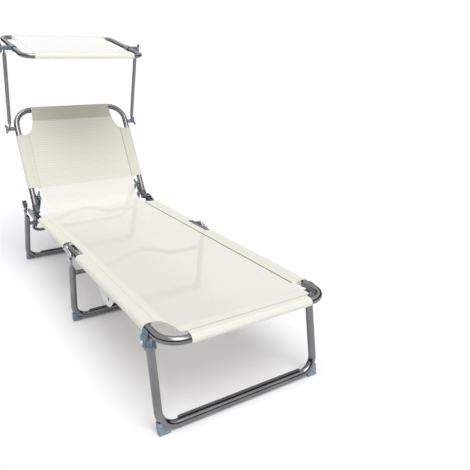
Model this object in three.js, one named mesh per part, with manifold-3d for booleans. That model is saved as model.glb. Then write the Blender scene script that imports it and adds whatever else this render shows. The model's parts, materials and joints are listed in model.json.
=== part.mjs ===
// Folding sun lounger with a tilting shade: a bent tube frame in three sections on three folding legs,
// a stretched fabric bed, a notched support bow behind the back, and a fabric shade on two arms.
// Millimetres, +Z up, +Y from the foot end to the head end, X = 0 in the middle.

import * as THREE from 'three';
import { mergeVertices } from 'three/addons/utils/BufferGeometryUtils.js';
import Module from 'manifold-3d';

const wasm = await Module();
wasm.setup();

// Clearances, counts and angles
const seatGap = 0.3;
const overrun = 6;
const weldDistance = 0.0005;
const quarterTurn = Math.PI / 2;
const halfTurn = Math.PI;
const degree = Math.PI / 180;
const tubeSides = 12;
const sleeveSides = 16;
const pinSides = 12;
const bendSteps = 6;
const arcSteps = 6;

// Main tubes of the bed and the legs
const tubeRadius = 12.5;
const tubeWall = 1.2;
const railHalfTrack = 279;
const railHeight = 311;
const footLength = 838;
const seatLength = 552;
const footBendRadius = 68;
const foldEndGap = 1;
const railEndGap = 12;

// Joint between the foot section and the seat
const foldRise = 14.5;
const plateThickness = 2.5;
const foldLobe = 8;
const foldPinRadius = 3.5;
const foldHeadRadius = 6;
const foldHeadHeight = 1.8;
const foldPlateReach = 46;
const foldPlateHalf = 9;
const plateRivetRadius = 4;
const plateRivetHeight = 1.4;
const plateRivetInset = 12;
const footPlateNear = 34;
const footPlateFar = 52;
const footPlateBoss = 6;

// Legs
const legDrop = 28.5;
const barHeight = 16;
const legBendRadius = 55;
const rodRadius = 4.5;
const rodInset = 53;
const legPinRadius = 3.8;
const legPinHead = 7;
const legPinHeadHeight = 2.6;
const frontLegInset = 95;
const frontLegTilt = -9 * degree;
const frontLegOutset = 4;
const midLegInset = 23.5;
const midLegTilt = 9.5 * degree;
const midLegOutset = 6;
const midLobe = 11;
const rearLegInset = 155;
const rearLegTilt = 24.5 * degree;
const rearLegOutset = 10;
const rearPivotDrop = 12.5;
const rearLobe = 13;
const rearTopLength = 40;

// Pressed ends of the legs
const pressedHalf = 2.5;
const pressedWidth = 14;
const pressedSlit = 0.6;
const pressedFlat = 16;
const pressedTaper = 30;
const pressedTopOver = 11;
const pressedTipShare = 0.62;

// Sockets and clips of the front leg
const socketHalf = 14.2;
const socketDepth = 28;
const socketTop = 7;
const clipThickness = 3.5;
const clipWidth = 34;
const clipTopRise = 8;
const clipJogHeight = 12;
const clipSocketGap = 2.6;
const clipCorner = 8;

// Foot pads under the bends
const padHalfDepth = 9;
const padWidth = 40;
const padHeight = 38;
const padRecess = 5;
const padRound = 3;
const padLead = 4;

// Arched crossbars of the middle and rear legs
const crossbarRadius = 9;
const crossbarWall = 1.1;
const crossbarDepth = 83;
const midCrossbarDepth = 62;
const archHeight = 45;
const archHalfWidth = 160;
const archSteps = 14;

// Rear brackets, recline joint and backrest
const reclineRise = 17;
const bracketThickness = 3;
const bracketFront = 50;
const bracketHalf = 10;
const bracketRise = 4;
const reclineLobe = 10;
const reclinePinRadius = 4;
const reclinePinHead = 7;
const rivetHeadHeight = 2.2;
const backInset = 7;
const backLength = 509;
const backAngle = 61.5 * degree;
const backBendRadius = 78;
const hingeSocketRadius = 15;
const hingeSocketLength = 36;
const hingeSocketFoot = 3;
const hingeSocketClear = 0.35;
const hingeLobeRadius = 9;
const hingeLobeHalf = 9;

// Caps on the tops of the rear legs
const capWidth = 30;
const capHeight = 18;
const capInner = 8.5;
const capOuter = 9;
const capLobeRadius = 7.5;
const capLobeSpread = 9;

// Support bow and its notched racks
const bowRadius = 8;
const bowWall = 1;
const bowInset = 24;
const bowPivotAlong = 81;
const bowLength = 330;
const bowBendRadius = 45;
const bowRestGap = 1;
const bowPressedHalf = 2.5;
const bowPressedWidth = 9.5;
const bowPressedFlat = 14;
const bowPressedTaper = 18;
const rackThickness = 4;
const rackStart = 34;
const rackEnd = 284;
const rackHalfHeight = 14;
const rackNotchRadius = 9.6;
const rackNotchPitch = 25.6;
const rackNotchLeadBack = 13;
const rackNotchLeadOn = 9;
const rackNotchLeadDrop = 7.5;
const rackNotchCount = 4;

// Arms and frame of the shade
const armRadius = 8;
const armWall = 1;
const armPivotFromTop = 88;
const armLength = 380;
const armAngle = 107.3 * degree;
const armPressedHalf = 2.4;
const armPressedWidth = 9.5;
const armPressedFlat = 12;
const armPressedTaper = 22;
const spacerRadius = 9;
const spacerReach = 18.8;
const shadeTubeRadius = 10;
const shadeTubeWall = 1;
const shadeInset = 39;
const shadeAngle = 11 * degree;
const shadeFront = 180.3;
const shadeRear = 262;
const shadeBendRadius = 46;
const shadeJointGap = 0.6;
const clampRadius = 13.5;
const clampWall = 0.4;
const clampHalfLength = 19;
const clampBossRadius = 10;
const clampStudDepth = 12;

// Wing knobs
const knobHubRadius = 8;
const knobHubHeight = 12;
const knobWingHalf = 22;
const knobWingHeight = 17;
const knobWingBase = 5;
const knobWingThickness = 6;
const studRadius = 3;
const studReach = 6;

// Fabric
const clothThickness = 1.5;
const clothGap = 0.45;
const panelThickness = 2.4;
const frontSleeveInset = 73;
const footSleeveStart = 114;
const footFlareX = 17;
const footFlareY = 24;
const footFlareEndY = 40;
const footSleeveEnd = 107;
const seatSleeveStart = 58;
const seatSleeveEnd = 95;
const hingeCutInset = 19;
const hingeCutTaper = 6;
const panelEndGap = 4;
const reclineCutInset = 44;
const backSleeveStart = 118;
const backSleeveFromTop = 129;
const backCutInset = 46;
const topSleeveInset = 79;
const topCutInset = 72;
const topCutDip = 5;
const shadeSleeveInset = 46;

// Carrying strap under the left rail
const strapInset = 9;
const strapThickness = 2;
const strapFrontY = 396;
const strapBackY = 586;
const strapLowY = 470;
const strapLowDrop = 82;
const strapBellyDrop = 58;
const strapSnapY = 452;
const strapSnapDrop = 52;
const strapSnapRadius = 4;
const strapSnapHalf = 3;
const strapSnapHead = 5.5;

// Places worked out from the sizes above
const foldY = footLength;
const foldZ = railHeight + foldRise;
const reclineY = footLength + seatLength;
const reclineZ = railHeight + reclineRise;
const railOuter = railHalfTrack + tubeRadius;
const seatPlateInner = railOuter + seatGap;
const seatPlateOuter = seatPlateInner + plateThickness;
const footPlateInner = seatPlateOuter + seatGap;
const footPlateOuter = footPlateInner + plateThickness;
const bracketOuter = seatPlateInner + bracketThickness;
const legPivotZ = railHeight - legDrop;
const rearPivotY = reclineY + rearLegInset;
const rearPivotZ = railHeight - rearPivotDrop;
const frontLegHalfTrack = railHalfTrack + frontLegOutset;
const midLegHalfTrack = railHalfTrack + midLegOutset;
const rearLegHalfTrack = railHalfTrack + rearLegOutset;
const clipFoot = frontLegHalfTrack + socketHalf + clipSocketGap;
const rodHalfLength = railHalfTrack - rodInset;
const backHalfTrack = railHalfTrack - backInset;
const bowHalfTrack = backHalfTrack - bowInset;
const armHalfTrack = backHalfTrack + tubeRadius + spacerReach + seatGap + armPressedHalf;
const shadeHalfTrack = armHalfTrack - shadeInset;
const frontSleeveHalf = railHalfTrack - frontSleeveInset;
const topSleeveHalf = backHalfTrack - topSleeveInset;
const shadeSleeveHalf = shadeHalfTrack - shadeSleeveInset;
const strapX = strapInset - railHalfTrack;
const armPivotAlong = backLength - armPivotFromTop;
const backSleeveEnd = backLength - backSleeveFromTop;
const sleeveBore = tubeRadius + clothGap;
const sleeveOuter = sleeveBore + clothThickness;
const shadeSleeveBore = shadeTubeRadius + clothGap;
const shadeSleeveOuter = shadeSleeveBore + clothThickness;
const panelTop = railHeight + sleeveOuter;

// Colours
const steel = { color: 0x77777c, roughness: 0.35, metalness: 0.9 };
const zinc = { color: 0xc3c8cf, roughness: 0.4, metalness: 0.8 };
const darkSteel = { color: 0x3a3d44, roughness: 0.5, metalness: 0.7 };
const bluePlastic = { color: 0x8197a8, roughness: 0.55, metalness: 0 };
const darkPlastic = { color: 0x474e59, roughness: 0.55, metalness: 0 };
const cream = { color: 0xeeeee2, roughness: 0.85, metalness: 0 };
const blackPlastic = { color: 0x26282b, roughness: 0.5, metalness: 0 };

function named(name, geometry, finish) {
  const mesh = new THREE.Mesh(geometry, new THREE.MeshStandardMaterial(finish));
  mesh.name = name;
  return mesh;
}

function point(x, y, z) {
  return new THREE.Vector3(x, y, z);
}

// Joining and cutting closed meshes

function toSolid(geometry) {
  const bare = geometry.clone();
  bare.deleteAttribute('normal');
  bare.deleteAttribute('uv');
  const merged = mergeVertices(bare, weldDistance);
  const vertProperties = merged.attributes.position.array;
  const triVerts = Uint32Array.from(merged.index.array);
  return new wasm.Manifold(new wasm.Mesh({ numProp: 3, vertProperties, triVerts }));
}

function toGeometry(solid) {
  const mesh = solid.getMesh();
  const geometry = new THREE.BufferGeometry();
  geometry.setAttribute('position', new THREE.BufferAttribute(mesh.vertProperties, 3));
  geometry.setIndex(new THREE.BufferAttribute(mesh.triVerts, 1));
  geometry.computeVertexNormals();
  return geometry;
}

function joined(first, ...others) {
  return toGeometry(others.reduce((solid, other) => solid.add(toSolid(other)), toSolid(first)));
}

function cutBy(first, ...tools) {
  return toGeometry(tools.reduce((solid, tool) => solid.subtract(toSolid(tool)), toSolid(first)));
}

function common(first, second) {
  return toGeometry(toSolid(first).intersect(toSolid(second)));
}

function mirrored(geometry) {
  const copy = toGeometry(toSolid(geometry));
  copy.scale(-1, 1, 1);
  const index = copy.index.array;
  for (let i = 0; i < index.length; i += 3) {
    const second = index[i + 1];
    index[i + 1] = index[i + 2];
    index[i + 2] = second;
  }
  copy.computeVertexNormals();
  return copy;
}

function pair(group, name, geometry, finish) {
  group.add(named(`${name}_left`, mirrored(geometry), finish));
  group.add(named(`${name}_right`, geometry, finish));
}

// Round sections and routes of bent tubes

function ring(radius, sides) {
  const points = [];
  for (let i = 0; i < sides; i += 1) {
    const angle = (2 * halfTurn * i) / sides;
    points.push(new THREE.Vector2(radius * Math.cos(angle), radius * Math.sin(angle)));
  }
  return points;
}

class StationPath extends THREE.Curve {
  constructor(stations) {
    super();
    this.stations = stations;
  }

  pick(share) {
    return this.stations[Math.round(share * (this.stations.length - 1))];
  }

  getPointAt(share) {
    return this.pick(share).at.clone();
  }

  getTangentAt(share) {
    return this.pick(share).along.clone();
  }
}

function bentRoute(corners, radius, steps = bendSteps) {
  const stations = [];
  const heading = (from, to) => to.clone().sub(from).normalize();
  stations.push({ at: corners[0].clone(), along: heading(corners[0], corners[1]) });
  for (let i = 1; i < corners.length - 1; i += 1) {
    const into = heading(corners[i - 1], corners[i]);
    const out = heading(corners[i], corners[i + 1]);
    const turn = into.angleTo(out);
    const side = out.clone().addScaledVector(into, -out.dot(into)).normalize();
    const start = corners[i].clone().addScaledVector(into, -radius * Math.tan(turn / 2));
    for (let k = 0; k <= steps; k += 1) {
      const angle = (turn * k) / steps;
      const at = start.clone().addScaledVector(into, radius * Math.sin(angle));
      at.addScaledVector(side, radius * (1 - Math.cos(angle)));
      const along = into.clone().multiplyScalar(Math.cos(angle)).addScaledVector(side, Math.sin(angle));
      stations.push({ at, along });
    }
  }
  const last = corners.length - 1;
  stations.push({ at: corners[last].clone(), along: heading(corners[last - 1], corners[last]) });
  return stations;
}

function withEndStops(route, distances) {
  const first = route[0];
  const last = route[route.length - 1];
  const head = distances.map((d) => ({
    at: first.at.clone().addScaledVector(first.along, d),
    along: first.along.clone(),
  }));
  const tail = distances.map((d) => ({
    at: last.at.clone().addScaledVector(last.along, -d),
    along: last.along.clone(),
  }));
  return [first, ...head, ...route.slice(1, -1), ...tail.reverse(), last];
}

function sweep(route, radius, sides = tubeSides) {
  return new THREE.ExtrudeGeometry(new THREE.Shape(ring(radius, sides)), {
    steps: route.length - 1,
    bevelEnabled: false,
    extrudePath: new StationPath(route),
  });
}

function tube(route, radius, wall, sides = tubeSides) {
  const section = new THREE.Shape(ring(radius, sides));
  section.holes.push(new THREE.Path(ring(radius - wall, sides)));
  return new THREE.ExtrudeGeometry(section, {
    steps: route.length - 1,
    bevelEnabled: false,
    extrudePath: new StationPath(route),
  });
}

// A pin, hole or boss lying along X
function roundAlongX(radius, fromX, toX, y, z, sides = pinSides) {
  const geometry = new THREE.CylinderGeometry(radius, radius, toX - fromX, sides);
  geometry.rotateZ(-quarterTurn);
  geometry.translate((fromX + toX) / 2, y, z);
  return geometry;
}

function roundAlongY(radius, x, fromY, toY, z, sides = pinSides) {
  const geometry = new THREE.CylinderGeometry(radius, radius, toY - fromY, sides);
  geometry.translate(x, (fromY + toY) / 2, z);
  return geometry;
}

function block(fromX, toX, fromY, toY, fromZ, toZ) {
  const geometry = new THREE.BoxGeometry(toX - fromX, toY - fromY, toZ - fromZ);
  geometry.translate((fromX + toX) / 2, (fromY + toY) / 2, (fromZ + toZ) / 2);
  return geometry;
}

// An outline in Y and Z, given a thickness along X
function plateInYZ(shape, fromX, toX) {
  const geometry = new THREE.ExtrudeGeometry(shape, {
    depth: toX - fromX,
    bevelEnabled: false,
    curveSegments: arcSteps,
  });
  geometry.applyMatrix4(new THREE.Matrix4().makeBasis(point(0, 1, 0), point(0, 0, 1), point(1, 0, 0)));
  geometry.translate(fromX, 0, 0);
  return geometry;
}

// An outline in X and Z, given a length along Y
function plateInXZ(shape, fromY, toY) {
  const geometry = new THREE.ExtrudeGeometry(shape, {
    depth: toY - fromY,
    bevelEnabled: false,
    curveSegments: arcSteps,
  });
  geometry.rotateX(quarterTurn);
  geometry.translate(0, toY, 0);
  return geometry;
}

// An outline in X and Y, given a thickness along Z
function plateInXY(shape, fromZ, toZ) {
  const geometry = new THREE.ExtrudeGeometry(shape, {
    depth: toZ - fromZ,
    bevelEnabled: false,
    curveSegments: arcSteps,
  });
  geometry.translate(0, 0, fromZ);
  return geometry;
}

// The outline of a belt drawn round a list of discs, each with its centre and radius, in turning order
function beltShape(discs) {
  const shape = new THREE.Shape();
  discs.forEach((disc, i) => {
    const before = discs[(i + discs.length - 1) % discs.length];
    const after = discs[(i + 1) % discs.length];
    const edge = (from, to) => {
      const heading = Math.atan2(to.y - from.y, to.x - from.x);
      const spread = Math.hypot(to.x - from.x, to.y - from.y);
      return heading - quarterTurn + Math.asin((from.r - to.r) / spread) * -1;
    };
    const start = edge(before, disc);
    const end = edge(disc, after);
    const turn = (end - start + 4 * halfTurn) % (2 * halfTurn);
    const steps = Math.max(1, Math.ceil((turn / quarterTurn) * 3));
    for (let k = 0; k <= steps; k += 1) {
      const angle = start + (turn * k) / steps;
      const x = disc.x + disc.r * Math.cos(angle);
      const y = disc.y + disc.r * Math.sin(angle);
      if (i === 0 && k === 0) {
        shape.moveTo(x, y);
      } else {
        shape.lineTo(x, y);
      }
    }
  });
  return shape;
}

// Presses a straight tube end flat across X. The end lies at distance 0 and the tube runs along the heading.
function pressed(geometry, tubeEnd, heading, size) {
  const across = point(1, 0, 0);
  const wide = heading.clone().cross(across);
  const bore = size.radius - size.wall;
  const middle = (size.radius + bore) / 2;
  const places = geometry.attributes.position;
  const place = point(0, 0, 0);
  for (let i = 0; i < places.count; i += 1) {
    place.fromBufferAttribute(places, i).sub(tubeEnd);
    const d = place.dot(heading);
    const p = place.dot(across);
    const q = place.dot(wide);
    const reach = Math.hypot(p, q);
    if (d < size.flat + size.taper && reach < 2 * size.radius) {
      const share = d <= size.flat ? 1 : 1 - (d - size.flat) / size.taper;
      const eased = share * share * (3 - 2 * share);
      const outside = reach > middle;
      const round = outside ? size.radius : bore;
      const tip = d < size.tip ? size.tipShare + ((1 - size.tipShare) * d) / size.tip : 1;
      const half = outside ? size.half : size.slit;
      const width = (outside ? size.width : size.width - (size.half - size.slit)) * tip;
      const pNew = p + eased * ((p / round) * half + size.shift - p);
      const qNew = q + eased * ((q / round) * width - q);
      place.copy(tubeEnd).addScaledVector(heading, d).addScaledVector(across, pNew).addScaledVector(wide, qNew);
      places.setXYZ(i, place.x, place.y, place.z);
    }
  }
  return geometry;
}

// Bed frame

function seatRail() {
  const route = bentRoute(
    [point(railHalfTrack, foldY + foldEndGap, railHeight), point(railHalfTrack, reclineY - railEndGap, railHeight)],
    0,
  );
  return tube(route, tubeRadius, tubeWall);
}

function footFrame() {
  const joint = foldY - foldEndGap;
  const corners = [
    point(-railHalfTrack, joint, railHeight),
    point(-railHalfTrack, 0, railHeight),
    point(railHalfTrack, 0, railHeight),
    point(railHalfTrack, joint, railHeight),
  ];
  return tube(bentRoute(corners, footBendRadius), tubeRadius, tubeWall);
}

// Light steel plate on the end of the seat rail: it carries the fold joint, and the middle leg on its own rivet
function foldPlate() {
  const midY = foldY - midLegInset;
  const hanger = beltShape([
    { x: midY, y: legPivotZ, r: midLobe },
    { x: foldY, y: foldZ, r: foldLobe },
    { x: midY + foldPlateHalf, y: railHeight, r: foldPlateHalf },
  ]);
  const strip = beltShape([
    { x: midY + foldPlateHalf, y: railHeight, r: foldPlateHalf },
    { x: foldY + foldPlateReach, y: railHeight, r: foldPlateHalf },
    { x: foldY, y: foldZ, r: foldLobe },
  ]);
  const plate = joined(
    plateInYZ(hanger, seatPlateInner, seatPlateOuter),
    plateInYZ(strip, seatPlateInner, seatPlateOuter),
  );
  const rivets = [foldPlateReach, foldPlateReach - 2 * plateRivetInset].map((reach) => roundAlongX(
    plateRivetRadius,
    seatPlateOuter - plateThickness / 2,
    seatPlateOuter + plateRivetHeight,
    foldY + reach,
    railHeight,
  ));
  const legSeat = seatPlateInner - 2 * (pressedHalf + seatGap);
  const legRivet = [
    roundAlongX(legPinRadius, legSeat, seatPlateOuter, midY, legPivotZ),
    roundAlongX(legPinHead, legSeat - rivetHeadHeight, legSeat, midY, legPivotZ),
    roundAlongX(
      legPinHead,
      seatPlateOuter - plateThickness / 2,
      seatPlateOuter + legPinHeadHeight,
      midY,
      legPivotZ,
    ),
  ];
  const hole = roundAlongX(
    foldPinRadius + seatGap,
    seatPlateInner - overrun,
    seatPlateOuter + overrun,
    foldY,
    foldZ,
  );
  return cutBy(joined(plate, ...rivets, ...legRivet), hole);
}

// Plate on the end of the foot rail, outside the seat's plate, with the fold rivet peened into it
function footPlate() {
  const outline = beltShape([
    { x: foldY - footPlateFar, y: railHeight, r: foldPlateHalf },
    { x: foldY, y: foldZ, r: foldLobe },
  ]);
  const plate = plateInYZ(outline, footPlateInner, footPlateOuter);
  const bosses = [footPlateNear, footPlateFar].map((reach) => roundAlongX(
    footPlateBoss,
    seatPlateInner,
    footPlateOuter - plateThickness / 2,
    foldY - reach,
    railHeight,
  ));
  const heads = [footPlateNear, footPlateFar].map((reach) => roundAlongX(
    plateRivetRadius,
    footPlateOuter - plateThickness / 2,
    footPlateOuter + plateRivetHeight,
    foldY - reach,
    railHeight,
  ));
  const pin = roundAlongX(foldPinRadius, seatPlateInner, footPlateOuter, foldY, foldZ);
  const pinHead = roundAlongX(
    foldHeadRadius,
    footPlateOuter - plateThickness / 2,
    footPlateOuter + foldHeadHeight,
    foldY,
    foldZ,
  );
  return joined(plate, ...bosses, ...heads, pin, pinHead);
}

// Dark bracket behind the seat rail: it carries the recline joint and the rear leg on its own rivet
function rearBracket() {
  const outline = beltShape([
    { x: reclineY - bracketFront, y: railHeight, r: bracketHalf },
    { x: rearPivotY, y: rearPivotZ + bracketRise, r: rearLobe },
    { x: reclineY, y: reclineZ, r: reclineLobe },
  ]);
  const arm = plateInYZ(outline, seatPlateInner, bracketOuter);
  const legLine = (y) => rearPivotZ + rearLobe - (rearPivotY - y) * Math.tan(6 * degree);
  const relief = new THREE.Shape();
  relief.moveTo(reclineY, railHeight - 2 * tubeRadius);
  relief.lineTo(rearPivotY - rearLobe, railHeight - 2 * tubeRadius);
  relief.lineTo(rearPivotY - rearLobe, legLine(rearPivotY - rearLobe));
  relief.lineTo(reclineY, legLine(reclineY));
  relief.closePath();
  const lobe = roundAlongX(rearLobe, seatPlateInner, bracketOuter, rearPivotY, rearPivotZ);
  const legSeat = bracketOuter + 2 * (pressedHalf + seatGap);
  const shank = roundAlongX(legPinRadius, bracketOuter - bracketThickness / 2, legSeat, rearPivotY, rearPivotZ);
  const head = roundAlongX(legPinHead, legSeat, legSeat + rivetHeadHeight, rearPivotY, rearPivotZ);
  const rivets = [0, 2 * bracketHalf].map((reach) => roundAlongX(
    plateRivetRadius,
    bracketOuter - bracketThickness / 2,
    bracketOuter + plateRivetHeight,
    reclineY - bracketFront + reach,
    railHeight,
  ));
  const hole = roundAlongX(
    reclinePinRadius + seatGap,
    seatPlateInner - overrun,
    bracketOuter + overrun,
    reclineY,
    reclineZ,
  );
  const cut = cutBy(arm, plateInYZ(relief, seatPlateInner - overrun, bracketOuter + overrun), hole);
  return joined(cut, lobe, shank, head, ...rivets);
}

function reclinePin() {
  const inner = backHalfTrack - hingeLobeHalf;
  const shank = roundAlongX(reclinePinRadius, inner, bracketOuter + seatGap, reclineY, reclineZ);
  const head = roundAlongX(
    reclinePinHead,
    bracketOuter + seatGap,
    bracketOuter + seatGap + rivetHeadHeight,
    reclineY,
    reclineZ,
  );
  return joined(shank, head);
}

// Bent clip on the foot rail that the front leg hangs from
function frontLegClip() {
  const jogTop = railHeight - clipJogHeight / 2;
  const jogLow = jogTop - clipJogHeight;
  const foot = legPivotZ - clipWidth / 2;
  const profile = new THREE.Shape();
  profile.moveTo(seatPlateInner, railHeight + clipTopRise);
  profile.lineTo(seatPlateInner, jogTop);
  profile.lineTo(clipFoot, jogLow);
  profile.lineTo(clipFoot, foot);
  profile.lineTo(clipFoot + clipThickness, foot);
  profile.lineTo(clipFoot + clipThickness, jogLow + clipThickness / 2);
  profile.lineTo(seatPlateInner + clipThickness, jogTop + clipThickness / 2);
  profile.lineTo(seatPlateInner + clipThickness, railHeight + clipTopRise);
  profile.closePath();
  const strip = plateInXZ(profile, frontLegInset - clipWidth / 2, frontLegInset + clipWidth / 2);
  const outline = beltShape([
    { x: frontLegInset, y: legPivotZ, r: clipWidth / 2 },
    { x: frontLegInset + clipWidth / 2 - clipCorner, y: railHeight + clipTopRise - clipCorner, r: clipCorner },
    { x: frontLegInset - clipWidth / 2 + clipCorner, y: railHeight + clipTopRise - clipCorner, r: clipCorner },
  ]);
  const rounded = common(strip, plateInYZ(outline, seatPlateInner - overrun, clipFoot + clipThickness + overrun));
  const rivet = roundAlongX(
    plateRivetRadius,
    seatPlateInner + clipThickness / 2,
    seatPlateInner + clipThickness + plateRivetHeight,
    frontLegInset,
    railHeight,
  );
  const hole = roundAlongX(
    legPinRadius + seatGap,
    clipFoot - overrun,
    clipFoot + clipThickness + overrun,
    frontLegInset,
    legPivotZ,
  );
  return cutBy(joined(rounded, rivet), hole);
}

function frontLegPin() {
  const outer = clipFoot + clipThickness + seatGap;
  const inner = frontLegHalfTrack - socketHalf;
  const shank = roundAlongX(legPinRadius, inner, outer, frontLegInset, legPivotZ);
  const head = roundAlongX(legPinHead, outer, outer + legPinHeadHeight, frontLegInset, legPivotZ);
  return joined(shank, head);
}

// Legs. Each is built about its own pivot line, hanging down along -Z, and then tilted.

function legLength(pivotZ, tilt) {
  return (pivotZ - barHeight) / Math.cos(tilt);
}

function legRoute(halfTrack, topZ, length) {
  const corners = [
    point(-halfTrack, 0, topZ),
    point(-halfTrack, 0, -length),
    point(halfTrack, 0, -length),
    point(halfTrack, 0, topZ),
  ];
  return bentRoute(corners, legBendRadius);
}

function pressedLeg(halfTrack, topZ, length, plateMiddle, flat) {
  const stops = [pressedTopOver, flat, flat + pressedTaper / 2, flat + pressedTaper];
  const route = withEndStops(legRoute(halfTrack, topZ, length), stops);
  const geometry = tube(route, tubeRadius, tubeWall);
  for (const side of [-1, 1]) {
    pressed(geometry, point(side * halfTrack, 0, topZ), point(0, 0, -1), {
      radius: tubeRadius,
      wall: tubeWall,
      flat,
      taper: pressedTaper,
      half: pressedHalf,
      slit: pressedSlit,
      width: pressedWidth,
      tip: pressedTopOver,
      tipShare: pressedTipShare,
      shift: side * (plateMiddle - halfTrack),
    });
  }
  const hole = roundAlongX(
    legPinRadius + seatGap,
    -plateMiddle - tubeRadius,
    plateMiddle + tubeRadius,
    0,
    0,
  );
  return cutBy(geometry, hole);
}

function legRod(length) {
  const z = tubeRadius + rodRadius + seatGap - length;
  return roundAlongX(rodRadius, -rodHalfLength, rodHalfLength, 0, z);
}

// A wedge of a shoe that fills the corner under a bend, cut to the tube and flat on the floor. Its inner
// side follows the tube's axis, inside the cut. It is made upright on the floor and leans with the leg.
function footPad(halfTrack, length, tilt, pivotY, pivotZ) {
  const outer = halfTrack + tubeRadius - padRecess;
  const bendX = halfTrack - legBendRadius;
  const bendRise = legBendRadius * Math.cos(tilt);
  const bendZ = barHeight + bendRise;
  const topAngle = -Math.asin((bendZ - padHeight) / bendRise);
  const endAngle = -Math.acos((outer - padWidth - bendX) / legBendRadius);
  const profile = new THREE.Shape();
  profile.moveTo(outer - padWidth + padLead, 0);
  profile.lineTo(outer - padRound, 0);
  profile.lineTo(outer, padRound);
  profile.lineTo(outer, padHeight);
  profile.absellipse(bendX, bendZ, legBendRadius, bendRise, topAngle, endAngle, true);
  profile.closePath();
  const lean = new THREE.Matrix4().makeShear(0, 0, 0, 0, 0, 0);
  lean.elements[9] = -Math.tan(tilt);
  const shoe = plateInXZ(profile, -padHalfDepth, padHalfDepth);
  shoe.applyMatrix4(lean);
  shoe.translate(0, pivotY + pivotZ * Math.tan(tilt), 0);
  const leg = sweep(legRoute(halfTrack, 0, length), tubeRadius + seatGap);
  leg.rotateX(tilt);
  leg.translate(0, pivotY, pivotZ);
  return cutBy(shoe, leg);
}

function archedRoute(halfLength, z) {
  const stations = [{ at: point(-halfLength, 0, z), along: point(1, 0, 0) }];
  for (let i = 0; i <= archSteps; i += 1) {
    const x = -archHalfWidth + (2 * archHalfWidth * i) / archSteps;
    const phase = (halfTurn * x) / archHalfWidth;
    const rise = (archHeight * (1 + Math.cos(phase))) / 2;
    const slope = (-archHeight * Math.sin(phase) * halfTurn) / (2 * archHalfWidth);
    stations.push({ at: point(x, 0, z + rise), along: point(1, 0, slope).normalize() });
  }
  stations.push({ at: point(halfLength, 0, z), along: point(1, 0, 0) });
  return stations;
}

function archedCrossbar(halfTrack, depth) {
  const bar = tube(archedRoute(halfTrack, -depth), crossbarRadius, crossbarWall);
  const copes = [-1, 1].map((side) => {
    const cope = new THREE.CylinderGeometry(
      tubeRadius + seatGap,
      tubeRadius + seatGap,
      4 * tubeRadius,
      tubeSides,
    );
    cope.rotateX(quarterTurn);
    cope.translate(side * halfTrack, 0, -depth);
    return cope;
  });
  return cutBy(bar, ...copes);
}

function frontLegSocket() {
  const outline = beltShape([
    { x: 0, y: 0, r: socketHalf },
    { x: -socketHalf / 2, y: -socketDepth + socketHalf / 2, r: socketHalf / 2 },
    { x: socketHalf / 2, y: -socketDepth + socketHalf / 2, r: socketHalf / 2 },
  ]);
  const x = frontLegHalfTrack;
  const shell = plateInYZ(outline, x - socketHalf, x + socketHalf);
  const bore = new THREE.CylinderGeometry(
    tubeRadius + seatGap,
    tubeRadius + seatGap,
    socketDepth + socketTop + overrun,
    tubeSides,
  );
  bore.rotateX(quarterTurn);
  bore.translate(x, 0, socketTop - (socketDepth + socketTop + overrun) / 2);
  const hole = roundAlongX(legPinRadius + seatGap, x - 2 * socketHalf, x + 2 * socketHalf, 0, 0);
  return cutBy(shell, bore, hole);
}

function placedLeg(pivotY, pivotZ, tilt) {
  const group = new THREE.Group();
  group.position.set(0, pivotY, pivotZ);
  group.rotation.x = tilt;
  return group;
}

function frontLeg(assembly) {
  const length = legLength(legPivotZ, frontLegTilt);
  const group = placedLeg(frontLegInset, legPivotZ, frontLegTilt);
  const hole = roundAlongX(
    legPinRadius + seatGap,
    -frontLegHalfTrack - 2 * tubeRadius,
    frontLegHalfTrack + 2 * tubeRadius,
    0,
    0,
  );
  const frame = tube(legRoute(frontLegHalfTrack, socketTop - seatGap, length), tubeRadius, tubeWall);
  group.add(named('front_leg_frame', cutBy(frame, hole), steel));
  group.add(named('front_leg_rod', legRod(length), darkSteel));
  pair(group, 'front_leg_socket', frontLegSocket(), bluePlastic);
  assembly.add(group);
  const pad = footPad(frontLegHalfTrack, length, frontLegTilt, frontLegInset, legPivotZ);
  pair(assembly, 'front_foot_pad', pad, bluePlastic);
}

function midLeg(assembly) {
  const length = legLength(legPivotZ, midLegTilt);
  const pivotY = foldY - midLegInset;
  const plateMiddle = seatPlateInner - seatGap - pressedHalf;
  const group = placedLeg(pivotY, legPivotZ, midLegTilt);
  const frame = pressedLeg(midLegHalfTrack, pressedTopOver, length, plateMiddle, pressedTopOver + pressedFlat);
  group.add(named('mid_leg_frame', frame, steel));
  group.add(named('mid_crossbar', archedCrossbar(midLegHalfTrack, midCrossbarDepth), steel));
  group.add(named('mid_leg_rod', legRod(length), darkSteel));
  assembly.add(group);
  const pad = footPad(midLegHalfTrack, length, midLegTilt, pivotY, legPivotZ);
  pair(assembly, 'mid_foot_pad', pad, bluePlastic);
}

// Lobed plastic cap on the pressed top of a rear leg
function rearLegCap() {
  const middle = bracketOuter + seatGap + pressedHalf;
  const base = rearTopLength - capHeight / 2;
  const outline = new THREE.Shape();
  outline.moveTo(-capWidth / 2, base);
  outline.lineTo(capWidth / 2, base);
  outline.lineTo(capWidth / 2, base + capHeight);
  outline.lineTo(-capWidth / 2, base + capHeight);
  outline.closePath();
  const body = plateInYZ(outline, middle - capInner, middle + capOuter);
  const lobes = [-capLobeSpread, capLobeSpread].map((y) => roundAlongX(
    capLobeRadius,
    middle - capInner,
    middle + capOuter,
    y,
    base + capHeight,
  ));
  const slotHalf = pressedHalf + seatGap;
  const slot = block(
    middle - slotHalf,
    middle + slotHalf,
    -pressedWidth * 2,
    pressedWidth * 2,
    base - overrun,
    rearTopLength + seatGap,
  );
  return cutBy(joined(body, ...lobes), slot);
}

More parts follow.
